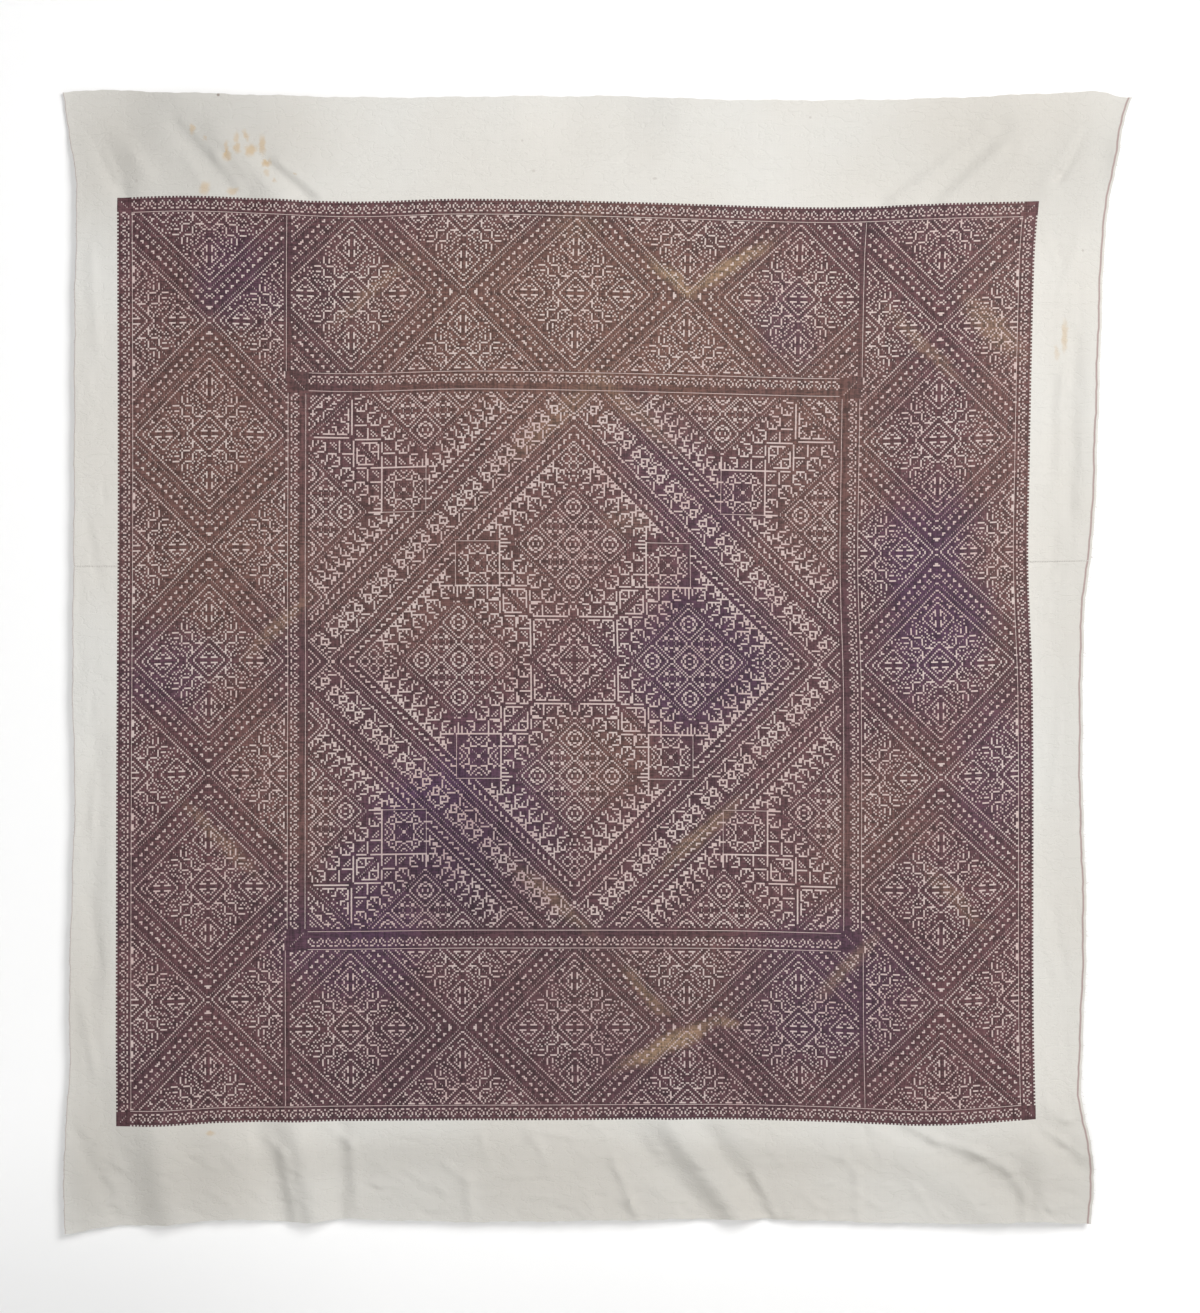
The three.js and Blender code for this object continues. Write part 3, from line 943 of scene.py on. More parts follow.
class Wiring:
    # puts nodes into a material or a group and joins them
    def __init__(self, tree):
        self.tree = tree

    def add(self, kind, settings=None, **values):
        node = self.tree.nodes.new(kind)
        for name, value in (settings or {}).items():
            setattr(node, name, value)
        for name, value in values.items():
            self.feed(node, name.replace('_', ' '), value)
        return node

    def feed(self, node, socket, value):
        socket = node.inputs[int(socket[2:])] if socket.startswith('at') else node.inputs[socket]
        if isinstance(value, bpy.types.NodeSocket):
            self.tree.links.new(value, socket)
        else:
            socket.default_value = value

    def calc(self, operation, *values):
        node = self.add('ShaderNodeMath', {'operation': operation})
        for place, value in enumerate(values):
            self.feed(node, f'at{place}', value)
        return node.outputs[0]

    def vector(self, operation, *values):
        node = self.add('ShaderNodeVectorMath', {'operation': operation})
        for place, value in enumerate(values):
            self.feed(node, f'at{place}', value)
        return node.outputs['Value' if operation == 'LENGTH' else 'Vector']

    def noise(self, vector, scale, detail=2, roughness=0.5):
        node = self.add('ShaderNodeTexNoise', Vector=vector, Scale=scale, Detail=detail,
                        Roughness=roughness)
        return node.outputs['Fac']

    def grain(self, place, stretch, detail):     # noise drawn out along each axis
        return self.noise(self.vector('MULTIPLY', place, stretch), 1.0, detail)

    def spread(self, value, fromLow, fromHigh, toLow, toHigh):
        node = self.add('ShaderNodeMapRange', {'interpolation_type': 'SMOOTHSTEP'}, Value=value)
        for socket, number in (('From Min', fromLow), ('From Max', fromHigh), ('To Min', toLow),
                               ('To Max', toHigh)):
            self.feed(node, socket, number)
        return node.outputs['Result']

    def blend(self, share, first, second):
        node = self.add('ShaderNodeMix', {'data_type': 'RGBA'})
        self.feed(node, 'at0', share)
        self.feed(node, 'at6', first)
        self.feed(node, 'at7', second)
        return node.outputs[2]

    def scaled(self, value, share):
        node = self.add('ShaderNodeVectorMath', {'operation': 'SCALE'})
        self.feed(node, 'at0', value)
        self.feed(node, 'Scale', share)
        return node.outputs['Vector']

    def stored(self, name):      # a value kept with the mesh's points
        return self.add('ShaderNodeAttribute', {'attribute_name': name}).outputs['Fac']


def newGroup(name, inputs, outputs):
    group = bpy.data.node_groups.new(name, 'ShaderNodeTree')
    kinds = {'value': 'NodeSocketFloat', 'vector': 'NodeSocketVector'}
    for label, kind in inputs.items():
        group.interface.new_socket(label, in_out='INPUT', socket_type=kinds[kind])
    for label, kind in outputs.items():
        group.interface.new_socket(label, in_out='OUTPUT', socket_type=kinds[kind])
    wires = Wiring(group)
    return group, wires, wires.add('NodeGroupInput').outputs, wires.add('NodeGroupOutput')


def spotGroup(name, slanting):
    # soft-edged spot: Strength inside, 0 outside. Size holds the half widths, Turn is in radians
    inputs = {'Place': 'vector', 'Centre': 'vector', 'Size': 'vector', 'Inner': 'value',
              'Outer': 'value', 'Strength': 'value'}
    if slanting:
        inputs['Turn'] = 'value'
    group, wires, given, out = newGroup(name, inputs, {'Mask': 'value'})
    beside = wires.vector('SUBTRACT', given['Place'], given['Centre'])
    if slanting:
        turned = wires.add('ShaderNodeVectorRotate', {'rotation_type': 'Y_AXIS'}, Vector=beside,
                           Angle=given['Turn'])
        beside = turned.outputs['Vector']
    far = wires.vector('LENGTH', wires.vector('DIVIDE', beside, given['Size']))
    mask = wires.spread(far, given['Inner'], given['Outer'], given['Strength'], 0.0)
    wires.feed(out, 'Mask', mask)
    return group


def driftGroup():
    # moves a place about by soft noise, so that spots lose their even edges
    group, wires, given, out = newGroup(
        'drift', {'Place': 'vector', 'Amount': 'value', 'Scale': 'value'}, {'Place': 'vector'})
    cloud = wires.add('ShaderNodeTexNoise', Vector=given['Place'], Scale=given['Scale'], Detail=2.0,
                      Roughness=0.6)
    centred = wires.vector('SUBTRACT', cloud.outputs['Color'], (0.5, 0.5, 0.5))
    moved = wires.scaled(centred, given['Amount'])
    wires.feed(out, 'Place', wires.vector('ADD', given['Place'], moved))
    return group


def threadGroup():
    # threads along X and along Z: a tone from 0 to 1 for each and the height of a plain weave
    group, wires, given, out = newGroup(
        'threads', {'Place': 'vector', 'Count': 'value', 'Slub': 'value'},
        {'Tone': 'value', 'Height': 'value'})
    parts = wires.add('ShaderNodeSeparateXYZ', Vector=given['Place'])
    bands = []
    for axis in ('X', 'Z'):
        turns = wires.calc('MULTIPLY', parts.outputs[axis], given['Count'])
        bands.append(wires.calc('SINE', wires.calc('MULTIPLY', turns, 2 * math.pi)))
    height = wires.calc('MULTIPLY', bands[0], bands[1])
    wires.feed(out, 'Height', wires.calc('MULTIPLY_ADD', height, 0.5, 0.5))
    tones = [wires.grain(given['Place'], stretch, 1.0)
             for stretch in ((10, 60, 900), (900, 60, 10))]
    both = wires.calc('ADD', *tones)
    centred = wires.calc('SUBTRACT', both, 1.0)
    slubs = wires.calc('MULTIPLY', centred, given['Slub'])
    wires.feed(out, 'Tone', wires.calc('ADD', slubs, 0.5))
    return group


effects = {'spot': spotGroup('spot', False), 'slantingSpot': spotGroup('slantingSpot', True),
           'drift': driftGroup(), 'threads': threadGroup()}


def useEffect(wires, name, **values):
    node = wires.add('ShaderNodeGroup', {'node_tree': effects[name]})
    for label, value in values.items():
        wires.feed(node, label, value)
    return node.outputs


def addSpots(wires, place, colour, rows, tint, softness):
    # rows: x, z, half width, half height, turn in degrees, strength
    share = None
    for x, z, wide, high, turn, strength in rows:
        settings = {'Place': place, 'Centre': (x * mm, 0, z * mm),
                    'Size': (wide * mm, 10.0, high * mm), 'Inner': 1 - softness,
                    'Outer': 1 + softness, 'Strength': strength}
        if turn:
            settings['Turn'] = math.radians(turn)
        mask = useEffect(wires, 'slantingSpot' if turn else 'spot', **settings)['Mask']
        share = mask if share is None else wires.calc('ADD', share, mask)
    return wires.blend(share, colour, tint)


silkFinish = {
    'silk': (0.088, 0.039, 0.043, 1),
    'deep': (0.056, 0.025, 0.034, 1),
    'violet': (0.057, 0.025, 0.056, 1),
    'brown': (0.125, 0.064, 0.048, 1),
    'faded': (0.25, 0.165, 0.10, 1),
    'dark': (0.036, 0.016, 0.026, 1),
    'brightness': (0.55, 1.62),          # of the darkest and the palest thread
    'roughness': (0.42, 0.62),
    'threadCount': 1700.0,               # threads to a metre
    'slub': 0.5,
    'bump': 0.35,
    'bumpHigh': 0.0002,
    'sheen': 0.04,
    'sheenRoughness': 0.4,
    'specular': 0.25,
    'cloud': (5, 5, 5),                  # how finely each grain turns along x, y and z
    'along': (35, 20, 420),
    'upright': (420, 20, 35),
    'stitch': (230, 230, 420),
    'areaDrift': (0.09, 12.0),           # how far the areas' edges wander, and how finely
    'wornDrift': (0.02, 30.0),
    # areas: x, z, half width, half height, turn in degrees, strength
    'violetSpots': [
        (135, -746, 95, 95, 0, 0.8), (-156, -931, 110, 100, 20, 0.7), (438, -667, 70, 130, 0, 0.75),
        (-480, -240, 60, 60, 0, 0.5), (-250, -1000, 90, 110, 0, 0.6), (300, -1180, 110, 90, 0, 0.5),
        (110, -520, 60, 120, 30, 0.4), (-330, -1130, 90, 70, 0, 0.55), (-560, -760, 60, 60, 0, 0.5),
        (520, -900, 50, 90, 0, 0.4), (250, -300, 40, 60, 20, 0.4),
    ],
    'brownSpots': [
        (-20, -310, 300, 170, 0, 0.8), (-520, -500, 120, 240, 0, 0.6), (-20, -880, 90, 60, 0, 0.6),
        (300, -480, 80, 160, -20, 0.5), (-200, -620, 220, 120, 0, 0.5),
        (540, -420, 50, 300, 0, 0.4), (100, -1180, 160, 60, 0, 0.4), (-420, -900, 60, 130, 20, 0.4),
        (360, -960, 60, 110, -30, 0.4),
    ],
    'darkSpots': [
        (-170, -1020, 110, 90, 0, 0.6), (0, -1240, 330, 110, 0, 0.35), (150, -740, 90, 90, 0, 0.3),
    ],
    'fadedSpots': [
        (97, -241, 34, 8, -38, 0.7), (171, -228, 54, 8, 31, 0.7), (-30, -170, 30, 20, 0, 0.15),
        (95, -1252, 60, 10, 27, 0.75), (173, -1226, 14, 6, 0, 0.5), (64, -1185, 36, 7, -45, 0.4),
        (40, -560, 30, 20, 0, 0.2), (-60, -430, 80, 12, 42, 0.25), (50, -420, 70, 12, -42, 0.25),
        (520, -305, 45, 16, -45, 0.4), (-300, -260, 60, 9, 40, 0.25), (430, -330, 60, 9, -45, 0.3),
        (135, -977, 60, 9, 42, 0.4), (-60, -1060, 60, 9, -42, 0.3), (-420, -700, 50, 9, 45, 0.3),
        (-500, -980, 60, 9, -45, 0.3), (330, -1150, 50, 9, 45, 0.3), (470, -1060, 50, 9, -45, 0.25),
    ],
}


def silkMaterial(name, shade):
    finish, nodes, links = shader(name)
    wires = Wiring(finish.node_tree)
    look = silkFinish
    place = wires.add('ShaderNodeTexCoord').outputs['Object']
    areaAmount, areaScale = look['areaDrift']
    drifted = useEffect(wires, 'drift', Place=place, Amount=areaAmount, Scale=areaScale)['Place']
    wornAmount, wornScale = look['wornDrift']
    streaky = useEffect(wires, 'drift', Place=place, Amount=wornAmount, Scale=wornScale)['Place']
    cloud = wires.grain(place, look['cloud'], 3.0)
    colour = wires.blend(wires.spread(cloud, 0.35, 0.7, 0, 0.75), look['silk'], look['deep'])
    colour = addSpots(wires, drifted, colour, look['brownSpots'], look['brown'], 0.55)
    colour = addSpots(wires, drifted, colour, look['violetSpots'], look['violet'], 0.5)
    colour = addSpots(wires, drifted, colour, look['darkSpots'], look['dark'], 0.6)
    colour = addSpots(wires, streaky, colour, look['fadedSpots'], look['faded'], 0.7)
    streaks = wires.grain(place, look['along'], 2.0)
    uprights = wires.grain(place, look['upright'], 2.0)
    both = wires.calc('ADD', streaks, uprights)
    stitches = wires.grain(place, look['stitch'], 1.0)
    uneven = wires.calc('MULTIPLY_ADD', stitches, 0.8, -0.4)
    bright = wires.spread(wires.calc('ADD', both, uneven), 0.62, 1.38, *look['brightness'])
    toned = wires.scaled(wires.vector('MULTIPLY', colour, shade), bright)
    threads = useEffect(wires, 'threads', Place=place, Count=look['threadCount'], Slub=look['slub'])
    principled = nodes['Principled BSDF']
    links.new(toned, principled.inputs['Base Color'])
    links.new(wires.spread(streaks, 0.3, 0.7, *look['roughness']), principled.inputs['Roughness'])
    bump = wires.add('ShaderNodeBump', Strength=look['bump'], Distance=look['bumpHigh'],
                     Height=threads['Height'])
    links.new(bump.outputs['Normal'], principled.inputs['Normal'])
    principled.inputs['Sheen Weight'].default_value = look['sheen']
    principled.inputs['Sheen Roughness'].default_value = look['sheenRoughness']
    principled.inputs['Specular IOR Level'].default_value = look['specular']
    return finish


clothFinish = {
    'cloth': (0.685, 0.675, 0.642, 1),
    'warm': (0.655, 0.625, 0.575, 1),
    'stain': (0.56, 0.44, 0.30, 1),
    'leftLine': (0.40, 0.33, 0.32, 1),
    'rightLine': (0.34, 0.235, 0.225, 1),
    'rightLineIn': 4.2,      # from the edge, in mm
    'speck': (0.16, 0.10, 0.07, 1),
    # painted shade along the line of the seam
    'seamPaintedShade': (0.50, 0.48, 0.44, 1),
    # painted shade with dust in it: the colour of the darker cloth at the top corners, down the
    # sides and along the bottom
    'shadeAndDust': (0.40, 0.375, 0.335, 1),
    'bleed': (0.55, 0.415, 0.395, 1),    # cloth between the stitches, with dye in it
    'clean': (0.62, 0.50, 0.46, 1),      # with less of it
    'dyed': (0.34, 0.225, 0.245, 1),     # with more of it
    'brightness': (0.955, 1.045),        # of the darkest and the palest thread
    'roughness': (0.82, 0.95),
    'threadCount': 1500.0,               # threads to a metre
    'slub': 0.3,
    'bump': 0.5,
    'bumpHigh': 0.0002,
    'wrinkle': 0.6,                      # the finest wrinkles
    'wrinkleHigh': 0.0004,
    'wrinkleScale': (45, 45, 75),
    'sheen': 0.08,
    'specular': 0.2,
    'cloud': (3, 3, 3),                  # how finely each grain turns along x, y and z
    'patch': (14, 14, 14),
    'leftLineFade': (0.6, 1.6, 0.7, 0),  # from and to in mm, and how strong at each
    'rightLineFade': (0.6, 1.9, 0.8, 0),
    'seamFade': (0.5, 1.4, 0.35, 0),
    'stainDrift': (0.009, 150.0),        # how far the stains' edges wander, and how finely
    # areas: x, z, half width, half height, turn in degrees, strength
    'stains': [
        (-536, -45, 3.4, 6.5, 0, 0.75), (-519, -57, 2.2, 3, 0, 0.5), (-490, -70, 2.6, 8, 0, 0.6),
        (-489, -80, 4.6, 6.5, 0, 0.8), (-477, -56, 2.6, 7, 0, 0.6), (-476, -71, 3.8, 6.5, 0, 0.8),
        (-464, -54, 3, 7, 20, 0.7), (-458, -73, 6.5, 7.5, -25, 0.9), (-443, -66, 4.2, 11, 0, 0.8),
        (-438, -90, 5.5, 4.5, 0, 1), (-437, -103, 4, 4, 0, 0.5), (-428, -113, 2.4, 3, 0, 0.5),
        (-399, -105, 2, 2, 0, 0.5), (-519, -123, 6, 8, -20, 0.7), (-482, -127, 6.5, 5, 0, 0.65),
        (616, -318, 4, 18, 0, 0.6), (606, -340, 3, 8, 0, 0.4), (-512, -1370, 5, 3, 0, 0.7),
    ],
    'specks': [
        (-501, 0, 2, 2, 0, 0.6), (-634, -100, 1.5, 1.5, 0, 0.14), (-609, -113, 1.6, 2, 0, 0.16),
        (640, -205, 1.5, 1.5, 0, 0.25), (-100, -60, 1.6, 1.6, 0, 0.2), (75, -110, 3, 1.6, 0, 0.2),
        (280, -30, 1.6, 1.6, 0, 0.2), (-85, -100, 2.2, 1.8, 0, 0.2),
    ],
    'cleanAreas': [
        (-40, -250, 340, 110, 0, 0.7), (-520, -560, 80, 360, 0, 0.4), (430, -260, 130, 90, 0, 0.4),
    ],
    'dyedAreas': [
        (-170, -1020, 120, 95, 0, 0.6), (60, -1250, 360, 90, 0, 0.3), (140, -745, 90, 90, 0, 0.25),
    ],
    # painted shade with dust in it: darker cloth at the top corners, down both sides and along the
    # bottom
    'shadeAndDustAreas': [
        (-560, -70, 150, 110, 0, 0.40), (560, -70, 190, 110, 0, 0.38), (0, -1440, 520, 75, 0, 0.38),
        (-600, -1430, 120, 110, 0, 0.36), (600, -1440, 120, 90, 0, 0.28),
        (-672, -1250, 34, 230, 0, 0.24), (630, -760, 44, 480, 0, 0.22),
        (-300, -1400, 160, 22, 4, 0.14), (250, -1405, 210, 18, -2, 0.12),
    ],
}


def clothMaterial(name):
    finish, nodes, links = shader(name)
    wires = Wiring(finish.node_tree)
    look = clothFinish
    place = wires.add('ShaderNodeTexCoord').outputs['Object']
    amount, scale = look['stainDrift']
    loose = useEffect(wires, 'drift', Place=place, Amount=amount, Scale=scale)['Place']
    cloud = wires.grain(place, look['cloud'], 3.0)
    colour = wires.blend(wires.spread(cloud, 0.35, 0.65, 0, 0.6), look['cloth'], look['warm'])
    # painted shade with dust in it, darker towards the top corners, the sides and the bottom
    colour = addSpots(wires, place, colour, look['shadeAndDustAreas'], look['shadeAndDust'], 0.75)
    colour = addSpots(wires, loose, colour, look['stains'], look['stain'], 0.6)
    colour = addSpots(wires, place, colour, look['specks'], look['speck'], 0.4)
    fromLeft, fromRight = wires.stored('fromLeft'), wires.stored('fromRight')
    colour = wires.blend(wires.spread(fromLeft, *look['leftLineFade']), colour, look['leftLine'])
    rightAway = wires.calc('ABSOLUTE', wires.calc('SUBTRACT', fromRight, look['rightLineIn']))
    colour = wires.blend(wires.spread(rightAway, *look['rightLineFade']), colour, look['rightLine'])
    # painted shade along the seam, fading out within a millimetre or two
    seamMask = wires.spread(wires.stored('fromSeam'), *look['seamFade'])
    colour = wires.blend(seamMask, colour, look['seamPaintedShade'])
    patchy = wires.spread(wires.grain(place, look['patch'], 3.0), 0.3, 0.7, 0.72, 1.0)
    dyed = addSpots(wires, place, look['bleed'], look['cleanAreas'], look['clean'], 0.7)
    dyed = addSpots(wires, place, dyed, look['dyedAreas'], look['dyed'], 0.7)
    colour = wires.blend(wires.calc('MULTIPLY', wires.stored('inField'), patchy), colour, dyed)
    threads = useEffect(wires, 'threads', Place=place, Count=look['threadCount'], Slub=look['slub'])
    bright = wires.spread(threads['Tone'], 0.0, 1.0, *look['brightness'])
    toned = wires.scaled(colour, bright)
    principled = nodes['Principled BSDF']
    links.new(toned, principled.inputs['Base Color'])
    links.new(wires.spread(threads['Tone'], 0, 1, *look['roughness']),
              principled.inputs['Roughness'])
    wrinkled = wires.grain(place, look['wrinkleScale'], 3.0)
    fromLine = wires.calc('ABSOLUTE', wires.calc('SUBTRACT', wrinkled, 0.5))
    wrinkles = wires.add('ShaderNodeBump', Strength=look['wrinkle'], Distance=look['wrinkleHigh'],
                         Height=wires.spread(fromLine, 0.0, 0.05, 0.0, 1.0))
    bump = wires.add('ShaderNodeBump', Strength=look['bump'], Distance=look['bumpHigh'],
                     Height=threads['Height'], Normal=wrinkles.outputs['Normal'])
    links.new(bump.outputs['Normal'], principled.inputs['Normal'])
    principled.inputs['Sheen Weight'].default_value = look['sheen']
    principled.inputs['Specular IOR Level'].default_value = look['specular']
    return finish


cottonFinish = clothMaterial('cotton')
silkFront = silkMaterial('silkFront', (1, 1, 1))
silkBack = silkMaterial('silkBack', (1.08, 1.02, 0.98))
print('finishes made')

columns = sheetColumns()
seamShare = seamRow(columns)
fieldRows = np.arange(0, countDeep + 1, rowEvery) / countDeep
aboveSeam = fieldRows[1 + fieldRows < seamShare.min() - 0.003]
belowSeam = fieldRows[1 + fieldRows > seamShare.max() + 0.003]
upperRows = np.concatenate((np.linspace(0, 1, sheetLines['topMargin'] + 1)[:-1], 1 + aboveSeam))
lowerRows = np.concatenate((1 + belowSeam,
                            np.linspace(2, 3, sheetLines['bottomMargin'] + 1)[1:]))
across = np.ones(len(columns))
upperCloth = makeCloth('upperCloth', columns,
                       np.vstack((upperRows[:, None] * across, seamShare)), 'below', cottonFinish)
lowerCloth = makeCloth('lowerCloth', columns,
                       np.vstack((seamShare, lowerRows[:, None] * across)), 'above', cottonFinish)
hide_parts('upper_cloth')
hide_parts('lower_cloth')

silkShape = {
    'foot': 0.06,            # from the cloth to the edge of a stitch
    'ridge': 0.42,
    'uneven': 0.06,
    'endSlope': 0.28,        # in counts
    'slitSide': 0.26,        # how far silk reaches into a slit, in counts
    'spreadAcross': 0.08,    # the silk lies a little wider than its own counts
    'spreadDown': 0.07,
    'endNoise': 0.05,        # how unevenly each strip ends, and lies in its row
    'rowNoise': 0.06,
    'bends': ((16, 2), (32, 4)),   # within so many rows of the top or bottom: counts between bends
    'bendEvery': 12,
    'clear': 0.6,            # no bend is nearer to a strip's end
    'straight': 9,           # shorter strips between them don't bend
}


def silkStrips(grid):
    # each strip: row from, row to, column from, column to, in counts from the top left
    strips = []
    side = silkShape['slitSide']
    cuts = [countWide // 2 + sign * reach for sign in (-1, 1)
            for reach in (pattern['innerField'], pattern['frame'], pattern['border'])]
    for row in range(countDeep):
        line = grid[row]
        edges = np.flatnonzero(np.diff(line)) + 1
        edges = np.unique(np.concatenate(([0, countWide], edges, cuts)))
        for start, end in zip(edges[:-1], edges[1:]):
            if line[start] == silk:
                besideLeft = start > 1 and line[start - 1] == slit and line[start - 2] != slit
                besideRight = (end < countWide - 1 and line[end] == slit
                               and line[end + 1] != slit)
                strips.append((row, row + 1, start - side * besideLeft, end + side * besideRight))
            elif line[start] == slit and end - start > 2:
                strips.append((row, row + side, start, end))
                strips.append((row + 1 - side, row + 1, start, end))
    return np.array(strips, float)


def latticeHeights():
    share = 2 + fieldColumns
    x, z = clothPoints(share[None, :], 1 + fieldRows[:, None])
    return np.stack((x, forwardAt(x, z), z), -1)


fieldColumns = np.arange(0, countWide + 1, columnEvery) / countWide
lattice = latticeHeights()


def onField(columnAt, rowAt):   # x, distance of the cloth's back from the wall, z
    u = np.clip(columnAt / columnEvery, 0, len(fieldColumns) - 1.0001)
    v = np.clip(rowAt / rowEvery, 0, len(fieldRows) - 1.0001)
    i, j = u.astype(int), v.astype(int)
    s, t = (u - i)[..., None], (v - j)[..., None]
    start, end = lattice[j, i], lattice[j + 1, i + 1]     # each face folds between these two
    beside, below = lattice[j, i + 1], lattice[j + 1, i]
    return start + np.where(s > t, s * (beside - start) + t * (end - beside),
                            t * (below - start) + s * (end - below))


def bendLines(strips):
    # the cloth lines at which each strip bends: counts between them, the first, how many
    fromRim = np.minimum(strips[:, 0], countDeep - strips[:, 1])
    step = np.full(len(strips), silkShape['bendEvery'], float)
    for rows, every in silkShape['bends'][::-1]:
        step[fromRim < rows] = every
    first = np.floor((strips[:, 2] + silkShape['clear']) / step) + 1
    last = np.ceil((strips[:, 3] - silkShape['clear']) / step) - 1
    bends = np.maximum(last - first + 1, 0).astype(int)
    short = strips[:, 3] - strips[:, 2] < silkShape['straight']
    bends[(step == silkShape['bendEvery']) & short] = 0
    return step, first, bends


def stitchedPiece(name, strips, onFront, finish):
    shape = silkShape
    points, quads, triangles, places = [], [], [], []
    total = 0
    step, first, bends = bendLines(strips)
    outwards = -1 if onFront else 1
    endNoise, rowNoise = shape['endNoise'], shape['rowNoise']
    for count in np.unique(bends):
        mine = bends == count
        chosen, many = strips[mine], int(mine.sum())
        inner = (first[mine, None] + np.arange(count)) * step[mine, None]
        ends = chosen[:, 2:4] + (-shape['spreadAcross'], shape['spreadAcross'])
        ends = ends + chance.uniform(-endNoise, endNoise, (many, 2))
        slope = np.minimum(shape['endSlope'], 0.3 * (ends[:, 1:] - ends[:, :1]))
        foot = np.hstack((ends[:, :1], inner, ends[:, 1:]))
        crest = np.hstack((ends[:, :1] + slope, inner, ends[:, 1:] - slope))
        rowMiddle = chosen[:, :2].mean(1)[:, None]
        rowMiddle = rowMiddle + chance.uniform(-rowNoise, rowNoise, (many, 1))
        lift = shape['ridge'] * np.minimum((chosen[:, 1:2] - chosen[:, 0:1]) + 0.3, 1)
        lift = lift + chance.uniform(-1, 1, (many, 1)) * shape['uneven']
        block, spots = [], []
        for columnAt, rowAt, high in ((foot, chosen[:, :1] - shape['spreadDown'], shape['foot']),
                                      (crest, rowMiddle, lift),
                                      (foot, chosen[:, 1:2] + shape['spreadDown'], shape['foot'])):
            rowAt = rowAt + 0 * columnAt
            spot = onField(columnAt, rowAt)
            half = clothShape['thick'] / 2
            y = -(spot[..., 1] + clothShape['middle']) + outwards * (half + high)
            block.append(np.stack((spot[..., 0], y, spot[..., 2]), -1))
            spots.append(np.clip(np.stack((columnAt / countWide, 1 - rowAt / countDeep), -1), 0, 1))
        points.append(np.stack(block, 1).reshape(-1, 3))   # strips, three lines, bends + 2, xyz
        places.append(np.stack(spots, 1).reshape(-1, 2))
        at = total + np.arange(many * 3 * (count + 2)).reshape(many, 3, count + 2)
        total += at.size
        for line in (0, 1):
            quad = np.stack((at[:, line, :-1], at[:, line + 1, :-1], at[:, line + 1, 1:],
                             at[:, line, 1:]), -1)
            quads.append(quad.reshape(-1, 4))
        if onFront:              # closed ends
            triangles.append(np.stack((at[:, 0, 0], at[:, 2, 0], at[:, 1, 0]), -1))
            triangles.append(np.stack((at[:, 0, -1], at[:, 1, -1], at[:, 2, -1]), -1))
    quads = np.concatenate(quads)
    triangles = np.concatenate(triangles) if triangles else np.zeros((0, 3), int)
    if not onFront:
        quads, triangles = quads[:, ::-1], triangles[:, ::-1]
    return makePiece(name, np.concatenate(points), quads, triangles, np.concatenate(places), finish)


def stripRegions(strips):
    a = np.abs(strips[:, 2:4].mean(1) - countWide / 2)
    b = np.abs(strips[:, :2].mean(1) - countDeep / 2)
    far = np.maximum(a, b)
    regions = np.full(len(strips), 'InnerSquare', dtype='U12')
    regions[a + b > pattern['innerField']] = 'InnerCorners'
    regions[far > pattern['innerField']] = 'Frame'
    regions[(far > pattern['frame']) & (a <= pattern['frame'])] = 'Bands'
    regions[a > pattern['frame']] = 'Sides'
    regions[far > pattern['border']] = 'Border'
    return regions


strips = silkStrips(chart)
regions = stripRegions(strips)
print('silk strips', len(strips))
silkPieces = {'Front': [], 'Back': []}
for region in ('Border', 'Sides', 'Bands', 'Frame', 'InnerCorners', 'InnerSquare'):
    mine = strips[regions == region]
    front = stitchedPiece('silk' + region + 'Front', mine, True, silkFront)
    behind = stitchedPiece('silk' + region + 'Back', mine, False, silkBack)
    silkPieces['Front'].append(front)
    silkPieces['Back'].append(behind)

looseThreads = {
    'right': {'many': 190, 'from': -20, 'to': -1470, 'reach': (0.8, 4.2)},
    'left': {'many': 60, 'from': -30, 'to': -1490, 'reach': (0.5, 2.2)},
    'thick': 0.15,           # radius
    'inwards': 0.8,          # where each starts, in from the edge
    'curl': 1.6,
    'drop': 0.5,
    'steps': 5,
}
seamStitch = {
    'across': (-690, 648),   # from and to, in the plain cloth only
    'at': -620.0,            # the seam's height
    'apart': 3.2,
    'uneven': 0.3,
    'high': 1.1,             # above and below the seam
    'lean': 0.7,
    'thick': 0.2,
    'off': 0.12,             # out of the cloth's face
    'dip': 0.25,             # how far its ends go in
    'steps': 4,
}


def threadPiece(name, paths, thick, finish):
    # paths holds threads, steps, xyz: three-sided, closed at both ends
    many, steps = paths.shape[:2]
    along = np.gradient(paths, axis=1)
    along = along / np.linalg.norm(along, axis=2, keepdims=True)
    side = np.cross(along, (0, 1, 0))
    side = side / np.linalg.norm(side, axis=2, keepdims=True)
    out = np.cross(side, along)
    turns = np.arange(3) * 2 * math.pi / 3
    ring = (paths[:, :, None] + thick * (np.cos(turns)[:, None] * side[:, :, None]
                                         + np.sin(turns)[:, None] * out[:, :, None]))
    at = np.arange(many * steps * 3).reshape(many, steps, 3)
    nextAt = np.roll(at, -1, 2)
    quads = np.stack((at[:, :-1], at[:, 1:], nextAt[:, 1:], nextAt[:, :-1]), -1).reshape(-1, 4)
    triangles = np.concatenate((at[:, 0], at[:, -1, ::-1]))
    u = (np.arange(many)[:, None, None] + 0.1 + 0.25 * np.arange(3)) / many + 0 * ring[..., 0]
    v = (np.arange(steps)[:, None] + 0.5) / steps + 0 * u
    return makePiece(name, ring, quads, triangles, np.stack((u, v), -1).reshape(-1, 2), finish)


def frayedPaths(side):
    rule, sign = looseThreads[side], {'left': -1, 'right': 1}[side]
    steps = np.linspace(0, 1, looseThreads['steps'])[None, :]
    z = chance.uniform(rule['to'], rule['from'], (rule['many'], 1))
    reach = chance.uniform(*rule['reach'], (rule['many'], 1))
    curl = chance.uniform(-looseThreads['curl'], looseThreads['curl'], (rule['many'], 1))
    inwards = looseThreads['inwards']
    x = edgeAt(side, z) + sign * (steps * (reach + inwards) - inwards)
    height = z + curl * steps ** 2 - looseThreads['drop'] * steps
    y = -(forwardAt(x, z + 0 * x) + clothShape['middle']) + chance.uniform(-1, 1, z.shape) * steps
    return np.stack((x, y, height), -1)


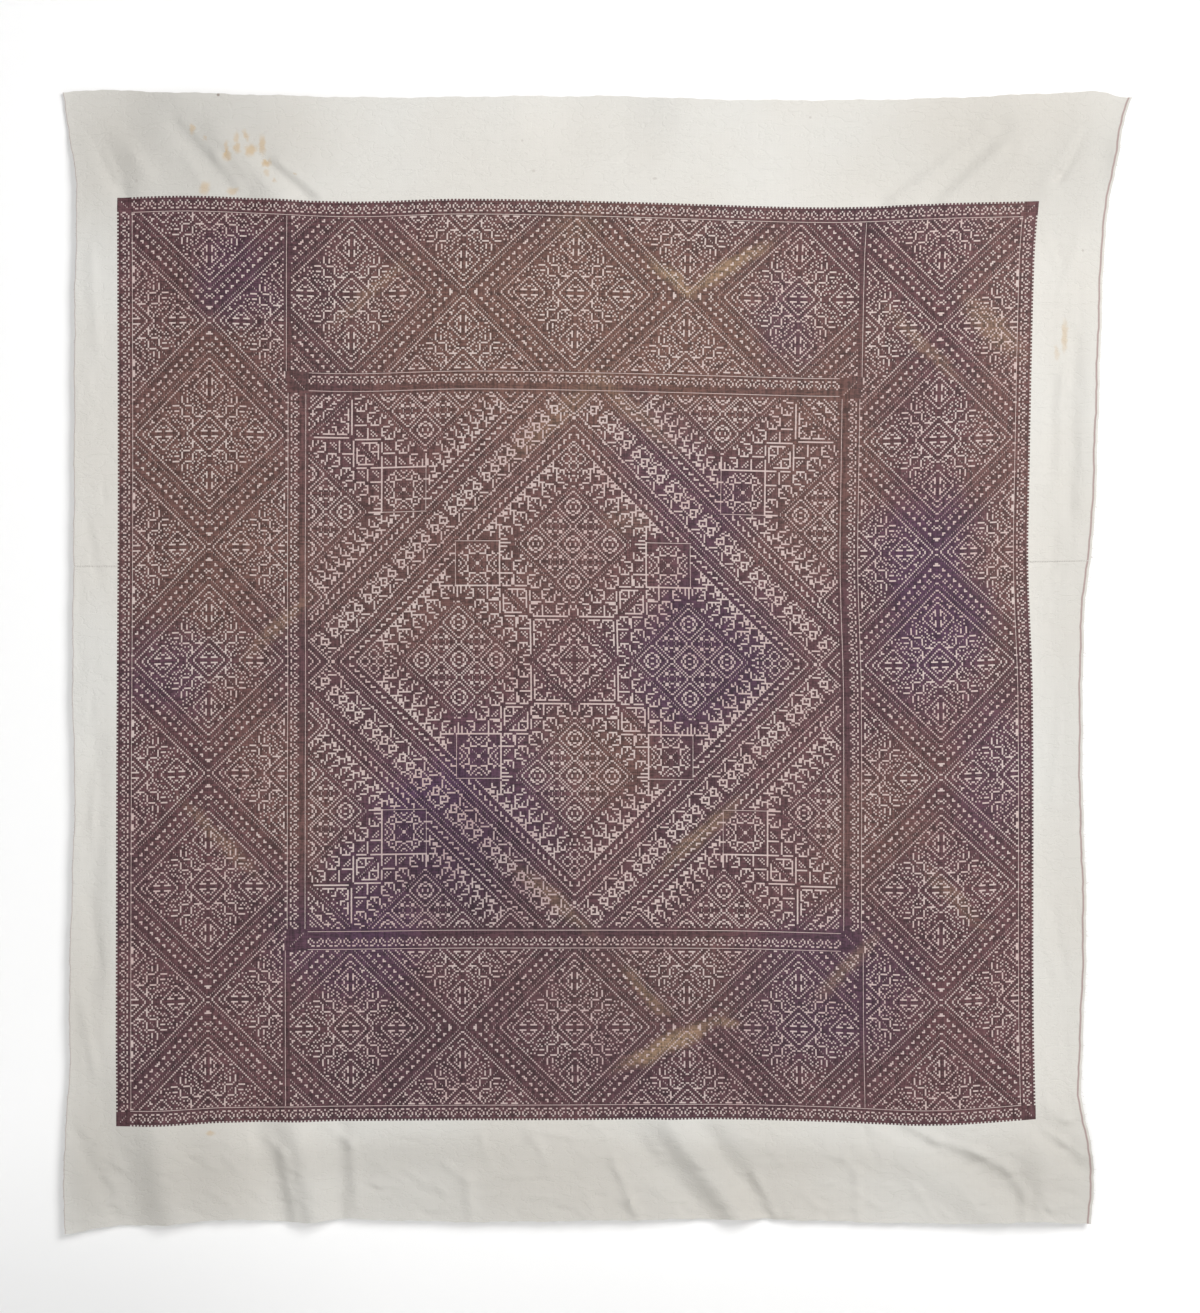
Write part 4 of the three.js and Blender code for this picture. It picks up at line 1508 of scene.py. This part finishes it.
def seamPaths(outwards):
    rule = seamStitch
    start, end = rule['across']
    fieldStart, fieldEnd = [float(readLine(line, np.array(rule['at'])))
                            for line in (fieldLeft, fieldRight)]
    x = np.concatenate((np.arange(start, fieldStart, rule['apart']),
                        np.arange(fieldEnd, end, rule['apart'])))
    x = x + chance.uniform(-rule['uneven'], rule['uneven'], len(x))
    steps = np.linspace(-1, 1, rule['steps'])[None, :]
    across = x[:, None] + rule['lean'] * steps
    z = readLine(seamLine, across) + rule['high'] * steps
    rise = rule['off'] - rule['dip'] * np.abs(steps)
    y = -(forwardAt(across, z) + clothShape['middle']) + outwards * (clothShape['thick'] / 2 + rise)
    return np.stack((across, y, z), -1)


frayed = np.concatenate((frayedPaths('right'), frayedPaths('left')))
looseEnds = threadPiece('looseThreads', frayed, looseThreads['thick'], cottonFinish)
seamStitches = threadPiece('seamStitches', np.concatenate((seamPaths(-1), seamPaths(1))),
                           seamStitch['thick'], cottonFinish)


def plainPlane(name, corners, finish):
    mesh = bpy.data.meshes.new(name)
    points = [tuple(part * mm for part in corner) for corner in corners]
    mesh.from_pydata(points, [], [(0, 1, 2, 3)])
    mesh.materials.append(finish)
    plane = bpy.data.objects.new(name, mesh)
    bpy.context.scene.collection.objects.link(plane)


def wallMaterial():
    # seen from the front only, so that the back of the cloth shows from behind
    finish, nodes, links = shader('paintedWall')
    wires = Wiring(finish.node_tree)
    principled = nodes['Principled BSDF']
    place = wires.add('ShaderNodeTexCoord').outputs['Object']
    tone = wires.spread(wires.noise(place, 1.5, 2.0), 0.3, 0.7, 0.9, 0.94)
    colour = wires.blend(tone, *room['wall'])
    # painted shade: the wall is darker at the bottom left and along the bottom
    colour = addSpots(wires, place, colour, room['wallShadeAreas'], room['paintedWallShade'], 0.8)
    links.new(colour, principled.inputs['Base Color'])
    principled.inputs['Roughness'].default_value = 0.95
    principled.inputs['Specular IOR Level'].default_value = 0.0
    rays = wires.add('ShaderNodeLightPath')
    facing = wires.add('ShaderNodeNewGeometry')
    seen = wires.calc('MULTIPLY', rays.outputs['Is Camera Ray'],
                      wires.calc('SUBTRACT', 1.0, facing.outputs['Backfacing']))
    clear = wires.add('ShaderNodeBsdfTransparent')
    mix = wires.add('ShaderNodeMixShader')
    links.new(seen, mix.inputs[0])
    links.new(clear.outputs[0], mix.inputs[1])
    links.new(principled.outputs[0], mix.inputs[2])
    links.new(mix.outputs[0], nodes['Material Output'].inputs['Surface'])
    return finish


def floorMaterial():
    finish, nodes, links = shader('paleFloor')
    wires = Wiring(finish.node_tree)
    principled = nodes['Principled BSDF']
    place = wires.add('ShaderNodeTexCoord').outputs['Object']
    tone = wires.noise(place, 3.0, 2.0)
    links.new(wires.blend(tone, *room['floor']), principled.inputs['Base Color'])
    principled.inputs['Roughness'].default_value = 0.8
    return finish


wide, high = room['wallWide'] / 2, room['wallHigh']
back, low = room['wallAt'], room['floorAt']
plainPlane('wall', [(-wide, back, low), (wide, back, low), (wide, back, low + high),
                    (-wide, back, low + high)], wallMaterial())
deep = room['floorDeep']
plainPlane('floor', [(-wide, -deep / 2, low), (wide, -deep / 2, low), (wide, deep / 2, low),
                     (-wide, deep / 2, low)], floorMaterial())
